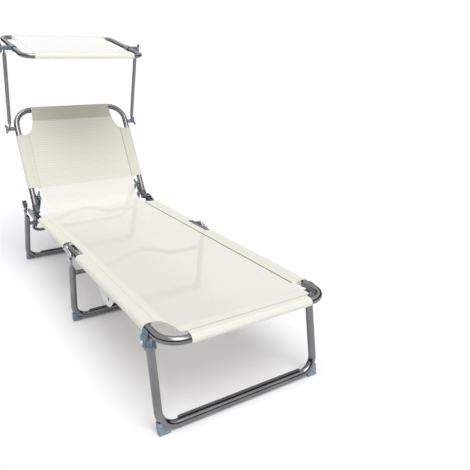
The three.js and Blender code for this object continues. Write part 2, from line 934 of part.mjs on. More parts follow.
function rearLeg(assembly) {
  const length = legLength(rearPivotZ, rearLegTilt);
  const plateMiddle = bracketOuter + seatGap + pressedHalf;
  const group = placedLeg(rearPivotY, rearPivotZ, rearLegTilt);
  const frame = pressedLeg(rearLegHalfTrack, rearTopLength, length, plateMiddle, rearTopLength + pressedFlat);
  group.add(named('rear_leg_frame', frame, steel));
  group.add(named('rear_crossbar', archedCrossbar(rearLegHalfTrack, crossbarDepth), steel));
  group.add(named('rear_leg_rod', legRod(length), darkSteel));
  pair(group, 'rear_leg_cap', rearLegCap(), darkPlastic);
  assembly.add(group);
  const pad = footPad(rearLegHalfTrack, length, rearLegTilt, rearPivotY, rearPivotZ);
  pair(assembly, 'rear_foot_pad', pad, bluePlastic);
}

// Backrest, built lying along +Y from the recline line, with its tube below that line by the joint's rise

function backFrame() {
  const z = -reclineRise;
  const corners = [
    point(-backHalfTrack, 0, z),
    point(-backHalfTrack, backLength, z),
    point(backHalfTrack, backLength, z),
    point(backHalfTrack, 0, z),
  ];
  const frame = tube(bentRoute(corners, backBendRadius), tubeRadius, tubeWall);
  const holes = [-1, 1].flatMap((side) => [
    studHole(side * (backHalfTrack - tubeRadius), bowPivotAlong, z),
    studHole(side * (backHalfTrack + tubeRadius), armPivotAlong, z),
  ]);
  return cutBy(frame, ...holes);
}

function studHole(x, y, z) {
  return roundAlongX(studRadius + seatGap, x - overrun, x + overrun, y, z);
}

function hingeSocket() {
  const z = -reclineRise;
  const sleeve = roundAlongY(hingeSocketRadius, backHalfTrack, -hingeSocketFoot, hingeSocketLength, z, sleeveSides);
  const lobe = plateInYZ(
    beltShape([
      { x: 0, y: 0, r: hingeLobeRadius },
      { x: -hingeSocketFoot + hingeLobeRadius, y: z, r: hingeLobeRadius },
      { x: hingeSocketLength / 2, y: z, r: hingeLobeRadius },
    ]),
    backHalfTrack - hingeLobeHalf,
    backHalfTrack + hingeLobeHalf,
  );
  const bore = roundAlongY(
    tubeRadius + hingeSocketClear,
    backHalfTrack,
    -seatGap,
    hingeSocketLength + overrun,
    z,
    tubeSides,
  );
  const hole = roundAlongX(
    reclinePinRadius + seatGap,
    backHalfTrack - 2 * hingeLobeHalf,
    backHalfTrack + 2 * hingeLobeHalf,
    0,
    0,
  );
  return cutBy(joined(sleeve, lobe), bore, hole);
}

// Plastic distance piece between a backrest tube and an arm of the shade
function armSpacer() {
  const z = -reclineRise;
  const armInner = armHalfTrack - armPressedHalf;
  const body = roundAlongX(spacerRadius, backHalfTrack, armInner - seatGap, armPivotAlong, z);
  const seat = roundAlongY(
    tubeRadius + hingeSocketClear,
    backHalfTrack,
    armPivotAlong - 2 * spacerRadius,
    armPivotAlong + 2 * spacerRadius,
    z,
    tubeSides,
  );
  const hole = roundAlongX(studRadius + seatGap, backHalfTrack, armInner + overrun, armPivotAlong, z);
  return cutBy(body, seat, hole);
}

// Support bow, built lying along +Y from its knobs

function pressedBar(route, ends, size) {
  const stops = [size.tip, size.flat, size.flat + size.taper / 2, size.flat + size.taper];
  const geometry = tube(withEndStops(route, stops), size.radius, size.wall);
  for (const end of ends) {
    pressed(geometry, end.at, end.heading, { ...size, shift: end.shift });
  }
  return geometry;
}

function bowFrame() {
  const tip = bowPressedWidth;
  const corners = [
    point(-bowHalfTrack, -tip, 0),
    point(-bowHalfTrack, bowLength, 0),
    point(bowHalfTrack, bowLength, 0),
    point(bowHalfTrack, -tip, 0),
  ];
  const shift = backHalfTrack - tubeRadius - seatGap - bowPressedHalf - bowHalfTrack;
  const ends = [-1, 1].map((side) => ({
    at: point(side * bowHalfTrack, -tip, 0),
    heading: point(0, 1, 0),
    shift: side * shift,
  }));
  const frame = pressedBar(bentRoute(corners, bowBendRadius), ends, {
    radius: bowRadius,
    wall: bowWall,
    flat: bowPressedFlat + tip,
    taper: bowPressedTaper,
    half: bowPressedHalf,
    slit: pressedSlit / 2,
    width: bowPressedWidth,
    tip,
    tipShare: pressedTipShare,
  });
  const reach = backHalfTrack;
  return cutBy(frame, roundAlongX(studRadius + seatGap, -reach, reach, 0, 0));
}

// Strip beside an arm of the bow, with a row of notches that hook over the rear crossbar
function ratchetRack(firstNotch) {
  const outer = bowHalfTrack - bowRadius - seatGap;
  const drop = bowRadius + bowRestGap + crossbarRadius;
  const strip = plateInYZ(
    beltShape([
      { x: rackStart + rackHalfHeight, y: 0, r: rackHalfHeight },
      { x: rackEnd - rackHalfHeight, y: 0, r: rackHalfHeight },
    ]),
    outer - rackThickness,
    outer,
  );
  const notches = [];
  for (let i = 0; i < rackNotchCount; i += 1) {
    const along = firstNotch - i * rackNotchPitch;
    const mouth = beltShape([
      { x: along, y: -drop, r: rackNotchRadius },
      { x: along - rackNotchLeadBack, y: -drop - rackNotchLeadDrop, r: rackNotchRadius },
      { x: along + rackNotchLeadOn, y: -drop - rackNotchLeadDrop, r: rackNotchRadius },
    ]);
    notches.push(plateInYZ(mouth, outer - rackThickness - overrun, outer + overrun));
  }
  return cutBy(strip, ...notches);
}

// Shade arms and frame

function shadeArm() {
  const tip = armPressedWidth;
  const route = bentRoute([point(armHalfTrack, -tip, 0), point(armHalfTrack, armLength + tip, 0)], 0);
  const ends = [
    { at: point(armHalfTrack, -tip, 0), heading: point(0, 1, 0), shift: 0 },
    { at: point(armHalfTrack, armLength + tip, 0), heading: point(0, -1, 0), shift: 0 },
  ];
  const bar = pressedBar(route, ends, {
    radius: armRadius,
    wall: armWall,
    flat: armPressedFlat + tip,
    taper: armPressedTaper,
    half: armPressedHalf,
    slit: pressedSlit / 2,
    width: armPressedWidth,
    tip,
    tipShare: pressedTipShare,
  });
  return cutBy(bar, studHole(armHalfTrack, 0, 0), studHole(armHalfTrack, armLength, 0));
}

function shadeHoop(endY, farY) {
  const corners = [
    point(-shadeHalfTrack, endY, 0),
    point(-shadeHalfTrack, farY, 0),
    point(shadeHalfTrack, farY, 0),
    point(shadeHalfTrack, endY, 0),
  ];
  return tube(bentRoute(corners, shadeBendRadius), shadeTubeRadius, shadeTubeWall);
}

// Plastic clamp that joins the two hoops of the shade and carries the arm on its outer boss
function shadeClamp() {
  const bossEnd = armHalfTrack - armPressedHalf - seatGap;
  const sleeve = roundAlongY(clampRadius, shadeHalfTrack, -clampHalfLength, clampHalfLength, 0, sleeveSides);
  const boss = roundAlongX(clampBossRadius, shadeHalfTrack, bossEnd, 0, 0);
  const bore = roundAlongY(
    shadeTubeRadius + clampWall,
    shadeHalfTrack,
    -clampHalfLength - overrun,
    clampHalfLength + overrun,
    0,
    tubeSides,
  );
  const hole = roundAlongX(studRadius + seatGap, bossEnd - clampStudDepth, bossEnd + overrun, 0, 0);
  return cutBy(joined(sleeve, boss), bore, hole);
}

// Wing knob with its screw, built about the X line through the origin: the hub stands towards +X
function wingKnob(studLength) {
  const hub = roundAlongX(knobHubRadius, 0, knobHubHeight, 0, 0);
  const stud = roundAlongX(studRadius, -studLength, knobHubHeight / 2, 0, 0);
  const wing = new THREE.Shape();
  wing.moveTo(-knobHubRadius, knobWingBase);
  wing.bezierCurveTo(
    -knobWingHalf,
    knobWingBase,
    -knobWingHalf - knobWingBase,
    knobWingHeight,
    -knobWingHalf + knobWingBase,
    knobWingHeight,
  );
  wing.quadraticCurveTo(-knobWingBase, knobWingHeight, 0, knobHubHeight);
  wing.quadraticCurveTo(knobWingBase, knobWingHeight, knobWingHalf - knobWingBase, knobWingHeight);
  wing.bezierCurveTo(
    knobWingHalf + knobWingBase,
    knobWingHeight,
    knobWingHalf,
    knobWingBase,
    knobHubRadius,
    knobWingBase,
  );
  wing.closePath();
  const plate = new THREE.ExtrudeGeometry(wing, {
    depth: knobWingThickness,
    bevelEnabled: false,
    curveSegments: arcSteps,
  });
  plate.translate(0, 0, -knobWingThickness / 2);
  plate.applyMatrix4(new THREE.Matrix4().makeBasis(point(0, 1, 0), point(1, 0, 0), point(0, 0, -1)));
  return joined(hub, stud, plate);
}

function placed(geometry, x, y, z, facing = 1) {
  const copy = geometry.clone();
  if (facing < 0) {
    copy.rotateZ(halfTurn);
  }
  copy.translate(x, y, z);
  return copy;
}

// Fabric. Panels are flat closed sheets and sleeves are rings round the tubes.

function panelShape(halfPoints) {
  const shape = new THREE.Shape();
  const [first, ...rest] = halfPoints;
  shape.moveTo(first.x, first.y);
  rest.forEach((p) => shape.lineTo(p.x, p.y));
  [...halfPoints].reverse().forEach((p) => shape.lineTo(-p.x, p.y));
  shape.closePath();
  return shape;
}

// Points of a hollow corner cut from one edge to the other, bulging towards the sheet
function cutCurve(from, to, bulge) {
  const curve = new THREE.QuadraticBezierCurve(
    new THREE.Vector2(from.x, from.y),
    new THREE.Vector2(bulge.x, bulge.y),
    new THREE.Vector2(to.x, to.y),
  );
  return curve.getPoints(arcSteps).map((p) => ({ x: p.x, y: p.y }));
}

function sleevesAlongY(halfTrack, fromY, toY, z, outer) {
  return [-1, 1].map((side) => roundAlongY(outer, side * halfTrack, fromY, toY, z, sleeveSides));
}

function footFabric() {
  const sleeveEnd = foldY - footSleeveEnd;
  const edge = railHalfTrack;
  const inner = railHalfTrack - hingeCutInset;
  const flare = frontSleeveHalf + footFlareX;
  const outline = panelShape([
    { x: frontSleeveHalf, y: 0 },
    { x: frontSleeveHalf, y: sleeveOuter },
    { x: flare, y: footFlareY },
    ...cutCurve(
      { x: flare, y: footFlareEndY },
      { x: edge - sleeveOuter, y: footSleeveStart },
      { x: flare, y: footSleeveStart },
    ),
    { x: edge, y: footSleeveStart },
    { x: edge, y: sleeveEnd },
    { x: inner, y: sleeveEnd + hingeCutTaper },
    { x: inner, y: foldY - panelEndGap },
  ]);
  const panel = plateInXY(outline, panelTop - panelThickness, panelTop);
  const sleeves = sleevesAlongY(edge, footSleeveStart, sleeveEnd, railHeight, sleeveOuter);
  const front = roundAlongX(sleeveOuter, -frontSleeveHalf, frontSleeveHalf, 0, railHeight, sleeveSides);
  const bores = sleevesAlongY(
    edge,
    footSleeveStart - overrun,
    foldY + overrun,
    railHeight,
    sleeveBore,
  );
  const frontBore = roundAlongX(
    sleeveBore,
    -frontSleeveHalf - overrun,
    frontSleeveHalf + overrun,
    0,
    railHeight,
    sleeveSides,
  );
  return cutBy(joined(panel, ...sleeves, front), ...bores, frontBore);
}

function seatFabric() {
  const start = foldY + seatSleeveStart;
  const end = reclineY - seatSleeveEnd;
  const edge = railHalfTrack;
  const inner = railHalfTrack - hingeCutInset;
  const outline = panelShape([
    { x: inner, y: foldY + panelEndGap },
    { x: inner, y: start - hingeCutTaper },
    { x: edge, y: start },
    { x: edge, y: end },
    ...cutCurve(
      { x: edge - sleeveOuter, y: end },
      { x: edge - reclineCutInset, y: reclineY - panelEndGap },
      { x: edge - reclineCutInset, y: end },
    ),
  ]);
  const panel = plateInXY(outline, panelTop - panelThickness, panelTop);
  const sleeves = sleevesAlongY(edge, start, end, railHeight, sleeveOuter);
  const bores = sleevesAlongY(edge, start - overrun, end + overrun, railHeight, sleeveBore);
  return cutBy(joined(panel, ...sleeves), ...bores);
}

function backFabric() {
  const z = -reclineRise;
  const top = z + sleeveOuter;
  const edge = backHalfTrack;
  const outline = panelShape([
    ...cutCurve(
      { x: edge - backCutInset, y: panelEndGap },
      { x: edge - sleeveOuter, y: backSleeveStart },
      { x: edge - backCutInset, y: backSleeveStart },
    ),
    { x: edge, y: backSleeveStart },
    { x: edge, y: backSleeveEnd },
    ...cutCurve(
      { x: edge - sleeveOuter, y: backSleeveEnd },
      { x: topSleeveHalf, y: backLength - sleeveOuter },
      { x: edge - topCutInset, y: backSleeveEnd - topCutDip },
    ),
    { x: topSleeveHalf, y: backLength },
  ]);
  const panel = plateInXY(outline, top - panelThickness, top);
  const sleeves = sleevesAlongY(edge, backSleeveStart, backSleeveEnd, z, sleeveOuter);
  const header = roundAlongX(sleeveOuter, -topSleeveHalf, topSleeveHalf, backLength, z, sleeveSides);
  const bores = sleevesAlongY(edge, backSleeveStart - overrun, backSleeveEnd + overrun, z, sleeveBore);
  const headerBore = roundAlongX(
    sleeveBore,
    -topSleeveHalf - overrun,
    topSleeveHalf + overrun,
    backLength,
    z,
    sleeveSides,
  );
  return cutBy(joined(panel, ...sleeves, header), ...bores, headerBore);
}

function shadeFabric() {
  const outline = panelShape([
    { x: shadeSleeveHalf, y: -shadeFront },
    { x: shadeSleeveHalf, y: shadeRear },
  ]);
  const panel = plateInXY(outline, shadeSleeveOuter - panelThickness, shadeSleeveOuter);
  const ends = [-shadeFront, shadeRear];
  const sleeves = ends.map((y) => roundAlongX(
    shadeSleeveOuter,
    -shadeSleeveHalf,
    shadeSleeveHalf,
    y,
    0,
    sleeveSides,
  ));
  const bores = ends.map((y) => roundAlongX(
    shadeSleeveBore,
    -shadeSleeveHalf - overrun,
    shadeSleeveHalf + overrun,
    y,
    0,
    sleeveSides,
  ));
  return cutBy(joined(panel, ...sleeves), ...bores);
}

// Fabric carrying strap, a hanging flap under the left rail, with a dark snap through it
function carryStrap() {
  const reach = sleeveOuter + seatGap;
  const top = railHeight - Math.sqrt(reach * reach - strapInset * strapInset);
  const lowest = railHeight - strapLowDrop;
  const outline = new THREE.Shape();
  outline.moveTo(strapFrontY, top);
  outline.lineTo(strapBackY, top);
  outline.bezierCurveTo(
    strapBackY - strapBellyDrop,
    railHeight - strapBellyDrop,
    strapLowY + strapBellyDrop,
    lowest,
    strapLowY,
    lowest,
  );
  outline.quadraticCurveTo(strapFrontY + strapSnapDrop / 2, lowest, strapFrontY, top);
  const flap = plateInYZ(outline, strapX, strapX + strapThickness);
  const hole = roundAlongX(
    strapSnapRadius + seatGap,
    strapX - overrun,
    strapX + strapThickness + overrun,
    strapSnapY,
    railHeight - strapSnapDrop,
  );
  return cutBy(flap, hole);
}

function strapSnap() {
  const z = railHeight - strapSnapDrop;
  const post = roundAlongX(strapSnapRadius, strapX - strapSnapHalf, strapX + strapSnapHalf, strapSnapY, z);
  const head = roundAlongX(
    strapSnapHead,
    strapX - strapSnapHalf,
    strapX - seatGap,
    strapSnapY,
    z,
  );
  return joined(post, head);
}

// Assembly

const assembly = new THREE.Group();

pair(assembly, 'seat_rail', seatRail(), steel);
pair(assembly, 'fold_plate', foldPlate(), zinc);
pair(assembly, 'rear_bracket', rearBracket(), darkSteel);
pair(assembly, 'recline_pin', reclinePin(), zinc);
assembly.add(named('seat_fabric', seatFabric(), cream));

assembly.add(named('foot_frame', footFrame(), steel));
pair(assembly, 'foot_plate', footPlate(), zinc);
pair(assembly, 'front_leg_clip', frontLegClip(), bluePlastic);
pair(assembly, 'front_leg_pin', frontLegPin(), zinc);
assembly.add(named('foot_fabric', footFabric(), cream));
assembly.add(named('carry_strap', carryStrap(), cream));
assembly.add(named('strap_snap', strapSnap(), blackPlastic));

frontLeg(assembly);
midLeg(assembly);
rearLeg(assembly);

const backrest = placedLeg(reclineY, reclineZ, backAngle);
backrest.add(named('back_frame', backFrame(), steel));
pair(backrest, 'hinge_socket', hingeSocket(), darkPlastic);
pair(backrest, 'arm_spacer', armSpacer(), bluePlastic);
backrest.add(named('back_fabric', backFabric(), cream));
assembly.add(backrest);

// The bow hangs from the backrest so that its arms lie just above the rear crossbar
const bowPivot = point(0, bowPivotAlong, -reclineRise).applyAxisAngle(point(1, 0, 0), backAngle);
bowPivot.add(point(0, reclineY, reclineZ));
const crossbarY = rearPivotY + crossbarDepth * Math.sin(rearLegTilt);
const crossbarZ = rearPivotZ - crossbarDepth * Math.cos(rearLegTilt);
const toCrossbar = new THREE.Vector2(crossbarY - bowPivot.y, crossbarZ - bowPivot.z);
const restLift = bowRadius + bowRestGap + crossbarRadius;
const bowAngle = Math.atan2(toCrossbar.y, toCrossbar.x) + Math.asin(restLift / toCrossbar.length());
const firstNotch = Math.sqrt(toCrossbar.lengthSq() - restLift * restLift);
const bow = placedLeg(bowPivotAlong, -reclineRise, bowAngle - backAngle);
bow.position.set(0, bowPivotAlong, -reclineRise);
bow.add(named('bow_frame', bowFrame(), steel));
pair(bow, 'ratchet_rack', ratchetRack(firstNotch), darkPlastic);
backrest.add(bow);

const bowKnobSeat = backHalfTrack - tubeRadius - 2 * seatGap - 2 * bowPressedHalf;
const bowKnob = placed(
  wingKnob(2 * bowPressedHalf + studReach),
  bowKnobSeat - seatGap,
  bowPivotAlong,
  -reclineRise,
  -1,
);
pair(backrest, 'bow_knob', bowKnob, bluePlastic);

const armStack = armHalfTrack + armPressedHalf + seatGap;
const armStud = armStack - backHalfTrack - tubeRadius + studReach;
pair(backrest, 'arm_knob', placed(wingKnob(armStud), armStack, armPivotAlong, -reclineRise), bluePlastic);

const arms = new THREE.Group();
arms.position.set(0, armPivotAlong, -reclineRise);
arms.rotation.x = armAngle - backAngle;
pair(arms, 'shade_arm', shadeArm(), steel);
const shadeStud = 2 * armPressedHalf + clampStudDepth - seatGap;
pair(arms, 'shade_knob', placed(wingKnob(shadeStud), armStack, armLength, 0), bluePlastic);
backrest.add(arms);

const shade = new THREE.Group();
shade.position.set(0, armLength, 0);
shade.rotation.x = shadeAngle - armAngle;
shade.add(named('shade_hoop_front', shadeHoop(-shadeJointGap / 2, -shadeFront), steel));
shade.add(named('shade_hoop_rear', shadeHoop(shadeJointGap / 2, shadeRear), steel));
pair(shade, 'shade_clamp', shadeClamp(), bluePlastic);
shade.add(named('shade_fabric', shadeFabric(), cream));
arms.add(shade);

// The origin is on the floor under the middle of the whole lounger
assembly.updateMatrixWorld(true);
const bounds = new THREE.Box3().setFromObject(assembly, true);
assembly.position.y = -(bounds.min.y + bounds.max.y) / 2;
assembly.updateMatrixWorld(true);

export default assembly;
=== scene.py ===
# Looks of the folding sun lounger: bent tubes, stretched mesh cloth, plastic joints and plated fittings
# over the CAD frame. Shapes are drawn in millimetres in the frame of their own section, and placed once.

import json
import math

import bmesh
import bpy
from mathutils import Matrix, Vector
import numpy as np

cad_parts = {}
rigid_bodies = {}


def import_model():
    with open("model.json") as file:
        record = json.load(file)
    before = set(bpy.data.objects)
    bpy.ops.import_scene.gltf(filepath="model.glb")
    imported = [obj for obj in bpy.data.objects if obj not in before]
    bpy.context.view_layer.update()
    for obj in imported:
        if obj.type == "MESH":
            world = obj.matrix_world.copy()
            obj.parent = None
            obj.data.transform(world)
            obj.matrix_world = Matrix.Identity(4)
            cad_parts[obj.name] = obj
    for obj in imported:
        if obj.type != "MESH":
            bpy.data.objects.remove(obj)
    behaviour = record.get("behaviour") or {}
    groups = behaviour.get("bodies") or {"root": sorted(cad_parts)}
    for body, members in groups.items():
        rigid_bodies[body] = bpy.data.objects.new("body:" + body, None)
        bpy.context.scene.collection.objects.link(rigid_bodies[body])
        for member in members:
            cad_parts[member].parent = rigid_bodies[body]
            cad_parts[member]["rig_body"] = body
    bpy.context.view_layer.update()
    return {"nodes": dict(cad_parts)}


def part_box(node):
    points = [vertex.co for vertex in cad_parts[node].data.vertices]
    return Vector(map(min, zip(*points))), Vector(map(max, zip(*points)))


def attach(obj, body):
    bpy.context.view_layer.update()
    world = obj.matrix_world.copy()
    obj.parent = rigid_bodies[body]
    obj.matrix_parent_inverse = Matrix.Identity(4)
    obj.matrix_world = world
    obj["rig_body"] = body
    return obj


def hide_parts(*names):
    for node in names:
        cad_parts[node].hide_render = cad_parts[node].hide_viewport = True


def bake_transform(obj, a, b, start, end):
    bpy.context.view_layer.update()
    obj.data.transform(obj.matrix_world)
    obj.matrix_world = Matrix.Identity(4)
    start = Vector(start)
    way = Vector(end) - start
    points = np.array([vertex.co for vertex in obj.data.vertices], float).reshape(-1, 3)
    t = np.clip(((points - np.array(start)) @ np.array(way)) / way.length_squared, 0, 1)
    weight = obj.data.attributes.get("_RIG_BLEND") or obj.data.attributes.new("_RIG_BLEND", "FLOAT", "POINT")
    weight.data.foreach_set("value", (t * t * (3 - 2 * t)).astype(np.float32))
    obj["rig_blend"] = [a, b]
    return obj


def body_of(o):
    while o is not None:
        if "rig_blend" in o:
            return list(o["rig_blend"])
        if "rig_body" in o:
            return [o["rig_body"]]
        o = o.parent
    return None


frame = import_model()

# Scale and shared finish of the meshes
MILLI = 0.001
WELD = 0.01
TUBE_SIDES = 28
TUBE_STEP = 6.0
PRESSED_STEP = 3.0
BEND_STEPS = 14
SHARP = math.radians(42)
FACET = math.radians(34)
FLAT_ANGLE = math.radians(2)
RIM_ANGLE = math.radians(60)
EDGE_SEGMENTS = 3

# Main tubes
TUBE = 12.5
TUBE_WALL = 1.2
RAIL_TRACK = 279.0
RAIL_Z = 311.0
FOOT_LENGTH = 838.0
SEAT_LENGTH = 552.0
FOOT_BEND = 68.0
FOLD_GAP = 1.0
RAIL_GAP = 12.0
BACK_TRACK = 272.0
BACK_LENGTH = 509.0
BACK_BEND = 78.0
RECLINE_RISE = 17.0
BACK_ANGLE = math.radians(61.5)

# Legs
BAR_Z = 16.0
LEG_BEND = 55.0
LEG_Z = 282.5
FRONT_LEG_Y = 95.0
FRONT_TILT = math.radians(-9)
FRONT_TRACK = 283.0
FRONT_TOP = 6.7
MID_LEG_Y = 814.5
MID_TILT = math.radians(9.5)
MID_TRACK = 285.0
MID_TOP = 11.0
MID_PLATE_X = 289.0
MID_FLAT = 27.0
REAR_LEG_Y = 1545.0
REAR_LEG_Z = 298.5
REAR_TILT = math.radians(24.5)
REAR_TRACK = 289.0
REAR_TOP = 40.0
REAR_PLATE_X = 297.6
REAR_FLAT = 56.0
LEG_TAPER = 30.0
LEG_PRESSED_HALF = 2.5
LEG_PRESSED_WIDTH = 14.0
LEG_TIP = 11.0
TIP_SHARE = 0.62
PRESSED_SQUARENESS = 2.2
ROD = 4.5
ROD_HALF = 226.0
ROD_ROUND = 2.0
ROD_STEPS = 40
ROD_SEGMENTS = 4
CROSSBAR = 9.0
MID_CROSSBAR_DEPTH = 62.0
REAR_CROSSBAR_DEPTH = 83.0
ARCH_HEIGHT = 45.0
ARCH_HALF = 160.0
ARCH_STEPS = 48
WELD_BEAD = 1.5
COPE_GAP = 0.3

# Bow behind the backrest
BOW = 8.0
BOW_TRACK = 248.0
BOW_ALONG = 81.0
BOW_LENGTH = 330.0
BOW_BEND = 45.0
BOW_ANGLE = math.radians(-46.283)
BOW_PLATE_X = 256.7
BOW_PRESSED_HALF = 2.5
BOW_TIP = 9.5
BOW_FLAT = 23.5
BOW_TAPER = 18.0

# Shade arms and hoops
ARM = 8.0
ARM_X = 306.0
ARM_ALONG = 421.0
ARM_LENGTH = 380.0
ARM_ANGLE = math.radians(107.3)
ARM_PRESSED_HALF = 2.4
ARM_TIP = 9.5
ARM_FLAT = 21.5
ARM_TAPER = 22.0
HOOP = 10.0
HOOP_TRACK = 267.0
HOOP_FRONT = 180.3
HOOP_REAR = 262.0
HOOP_BEND = 46.0
HOOP_GAP = 0.3
SHADE_ANGLE = math.radians(11)

# Cloth
CLOTH = 1.5
CLOTH_GAP = 0.45
SLEEVE = TUBE + CLOTH_GAP + CLOTH / 2
SLEEVE_OUTER = TUBE + CLOTH_GAP + CLOTH
SLEEVE_STEPS = 20
SLEEVE_SWEEP = math.radians(300)
HEM_DROP = 1.6
HEM_RISE = 2.6
HEM_FADE = 20.0
BED_HEM = 50.0
BACK_HEM = 42.0
FRONT_HEM = 54.0
HEADER_HEM = 60.0
SEAM_IN = 23.5
SEAM_FRONT = 17.5
SEAM_HALF = 0.9
SEAM_GAP = 4.0
LINE_HALF = 0.4
PANEL_COLUMNS = 18
PANEL_STEP = 22.0
CORNER_STEPS = 12
RISE_STEPS = 4
FRONT_SLEEVE_HALF = 206.0
FOOT_SLEEVE_START = 114.0
FOOT_SLEEVE_END = 731.0
FLARE_HALF = 223.0
FLARE_Y = 24.0
FLARE_END_Y = 40.0
FOLD_CUT_HALF = 260.0
FOLD_CUT_TAPER = 6.0
SEAT_SLEEVE_START = 896.0
SEAT_SLEEVE_END = 1295.0
BED_END = 1330.0
RECLINE_CUT_HALF = 235.0
RECLINE_HALF = 229.0
BACK_CUT_HALF = 227.0
BACK_CUT_END_HALF = 230.0
BACK_CUT_ALONG = 100.0
BACK_SLEEVE_START = 118.0
BACK_SLEEVE_END = 380.0
TOP_CUT_HALF = 200.0
TOP_CUT_ALONG = 375.0
HEADER_HALF = 193.0
BEND_RADIUS = 80.0
BED_SAG = 4.0
BACK_SAG = 6.0
SHADE_SAG = 5.0
SHADE_HALF = 221.0
SHADE_WAIST = 5.0
SHADE_STEPS = 24
STITCH_PITCH = 4.2
STITCH_LENGTH = 2.8
STITCH_RADIUS = 0.4

# Strap under the left rail
STRAP_X = -269.0
STRAP_FRONT = 396.0
STRAP_BACK = 586.0
STRAP_TOP = 299.3
STRAP_LOW_Y = 470.0
STRAP_LOW_Z = 229.0
STRAP_BELLY = 58.0
STRAP_SNAP_DROP = 52.0
STRAP_PIPING = 1.3
STRAP_BOW_OUT = 3.0
STRAP_STEPS = 18
STRAP_COLUMNS = 12

# Wing knobs
KNOB_HUB = 8.0
KNOB_HEIGHT = 12.0
KNOB_WING_HALF = 22.0
KNOB_WING_HEIGHT = 17.0
KNOB_WING_BASE = 5.0
KNOB_WING_THICK = 6.0
KNOB_EDGE = 1.2
KNOB_RECESS = 4.4
KNOB_RECESS_DEPTH = 1.6
KNOB_GAP = 0.3
BOW_KNOB_GAP = 0.9
WING_STEPS = 10
STUD = 3.0
STUD_REACH = 6.0
CLAMP_STUD_REACH = 12.0
LATHE_SIDES = 32

# Rounding of the edges of plates, pins and mouldings
FINE_EDGE = 0.5
SMALL_EDGE = 0.6
MEDIUM_EDGE = 0.7
WIDE_EDGE = 0.8

# The photograph's view
VIEW_FROM = Vector((-774.4, -1106.8, 1023.4))
VIEW_TURN = -0.5702548
VIEW_RISE = 0.328771
VIEW_ROLL = 0.00072
VIEW_LENS = 40.42
VIEW_SENSOR = 36.0

# Light and floor
WHITE = (1, 1, 1, 1)
AMBIENT = 0.44
AMBIENT_TONE = (0.97, 0.98, 1.0, 1)
KEY_STRENGTH = 2.08
KEY_SOFTNESS = math.radians(44)
KEY_TURN = (math.radians(27), math.radians(-5), 0)
FLAG_RADIUS = 6.0
FLAG_HEIGHT = 2.6
FLAG_SIDES = 64
FLAG_TONE = 0.02
BOX_HEIGHT = 5.0
BOX_HALF = 0.8
BOX_STRENGTH = 6.0
FLOOR_SIZE = 30.0
FLOOR_DROP = 0.0004
FLOOR_TONE = (0.99, 0.982, 0.995)

# Surface effects: pitches and depths in metres, scales per metre, ranges of a noise or a mask
MIDDLE = 0.5
THREAD_PITCH = 0.0022
RIB_PITCH = 0.0118
WEBBING_PITCH = 0.0035
SEAM_THREAD_PITCH = 0.002
RIB_SHARE = 0.3
RIB_HEIGHT_SHARE = 0.6
RIB_TONE_SHARE = 0.75
THREAD_TONE_SHARE = 0.35
FINE_DETAIL = 3.0
SLOW_DETAIL = 2.0
NOISE_ROUGHNESS = 0.5
FINE_NOISE_ROUGHNESS = 0.6
SLOW_HEIGHT_SHARE = 0.2
FINE_RANGE = (0.3, 0.7)
STEEL_FINE_SCALE = 1400.0
STEEL_SLOW_SCALE = 11.0
STEEL_DRIFT = (0.35, 0.65)
STEEL_ROUGH_SHARES = (0.85, 1.2)
STEEL_RELIEF = (0.08, 0.0002)
PLASTIC_FINE_SCALE = 1100.0
PLASTIC_SLOW_SCALE = 30.0
PLASTIC_DRIFT = (0.3, 0.7)
PLASTIC_ROUGH_SHARES = (0.9, 1.15)
PLASTIC_RELIEF = (0.15, 0.0002)
PLASTIC_WEAR_SHARE = 0.6
WEAR_EDGES = (0.53, 0.62)
WEAR_SCALE = 220.0
WEAR_PATCHES = (0.35, 0.6)
DUST_SHARE = 0.06
DUST_SCALE = 26.0
DUST_SLOPES = (0.35, 0.95)
DUST_PATCHES = (0.3, 0.75)
DUST_TONE = (0.8, 0.8, 0.78, 1)
CLOTH_PATCH_SCALE = 7.0
CLOTH_PATCHES = (0.35, 0.75)
CLOTH_PATCH_SHARE = 0.1
CLOTH_ROUGHNESS = 0.72
CLOTH_SHEEN = 0.1
CLOTH_GLOSS = 0.3
CLOTH_RELIEF = (0.25, 0.0004)

# Each metal: dark, light and worn tone, roughness, metallic
METALS = {
    "frame_tube": ((0.2, 0.2, 0.208), (0.25, 0.25, 0.258), (0.5, 0.5, 0.52), 0.2, 1.0),
    "plated_steel": ((0.46, 0.48, 0.52), (0.56, 0.59, 0.63), (0.85, 0.86, 0.88), 0.3, 0.9),
    # The dark steel is darker than the frame tube: painted shade on the leg rods, and the rear brackets' own
    # dark finish.
    "dark_steel": ((0.11, 0.112, 0.12), (0.145, 0.148, 0.156), (0.34, 0.34, 0.36), 0.26, 0.9),
}

# Each plastic: base, light and worn tone, roughness
PLASTICS = {
    "blue_grey_plastic": ((0.115, 0.16, 0.21), (0.15, 0.2, 0.255), (0.4, 0.46, 0.52), 0.45),
    "dark_plastic": ((0.036, 0.043, 0.055), (0.052, 0.06, 0.075), (0.2, 0.23, 0.27), 0.34),
    "black_plastic": ((0.014, 0.015, 0.016), (0.02, 0.021, 0.022), (0.12, 0.12, 0.13), 0.4),
}

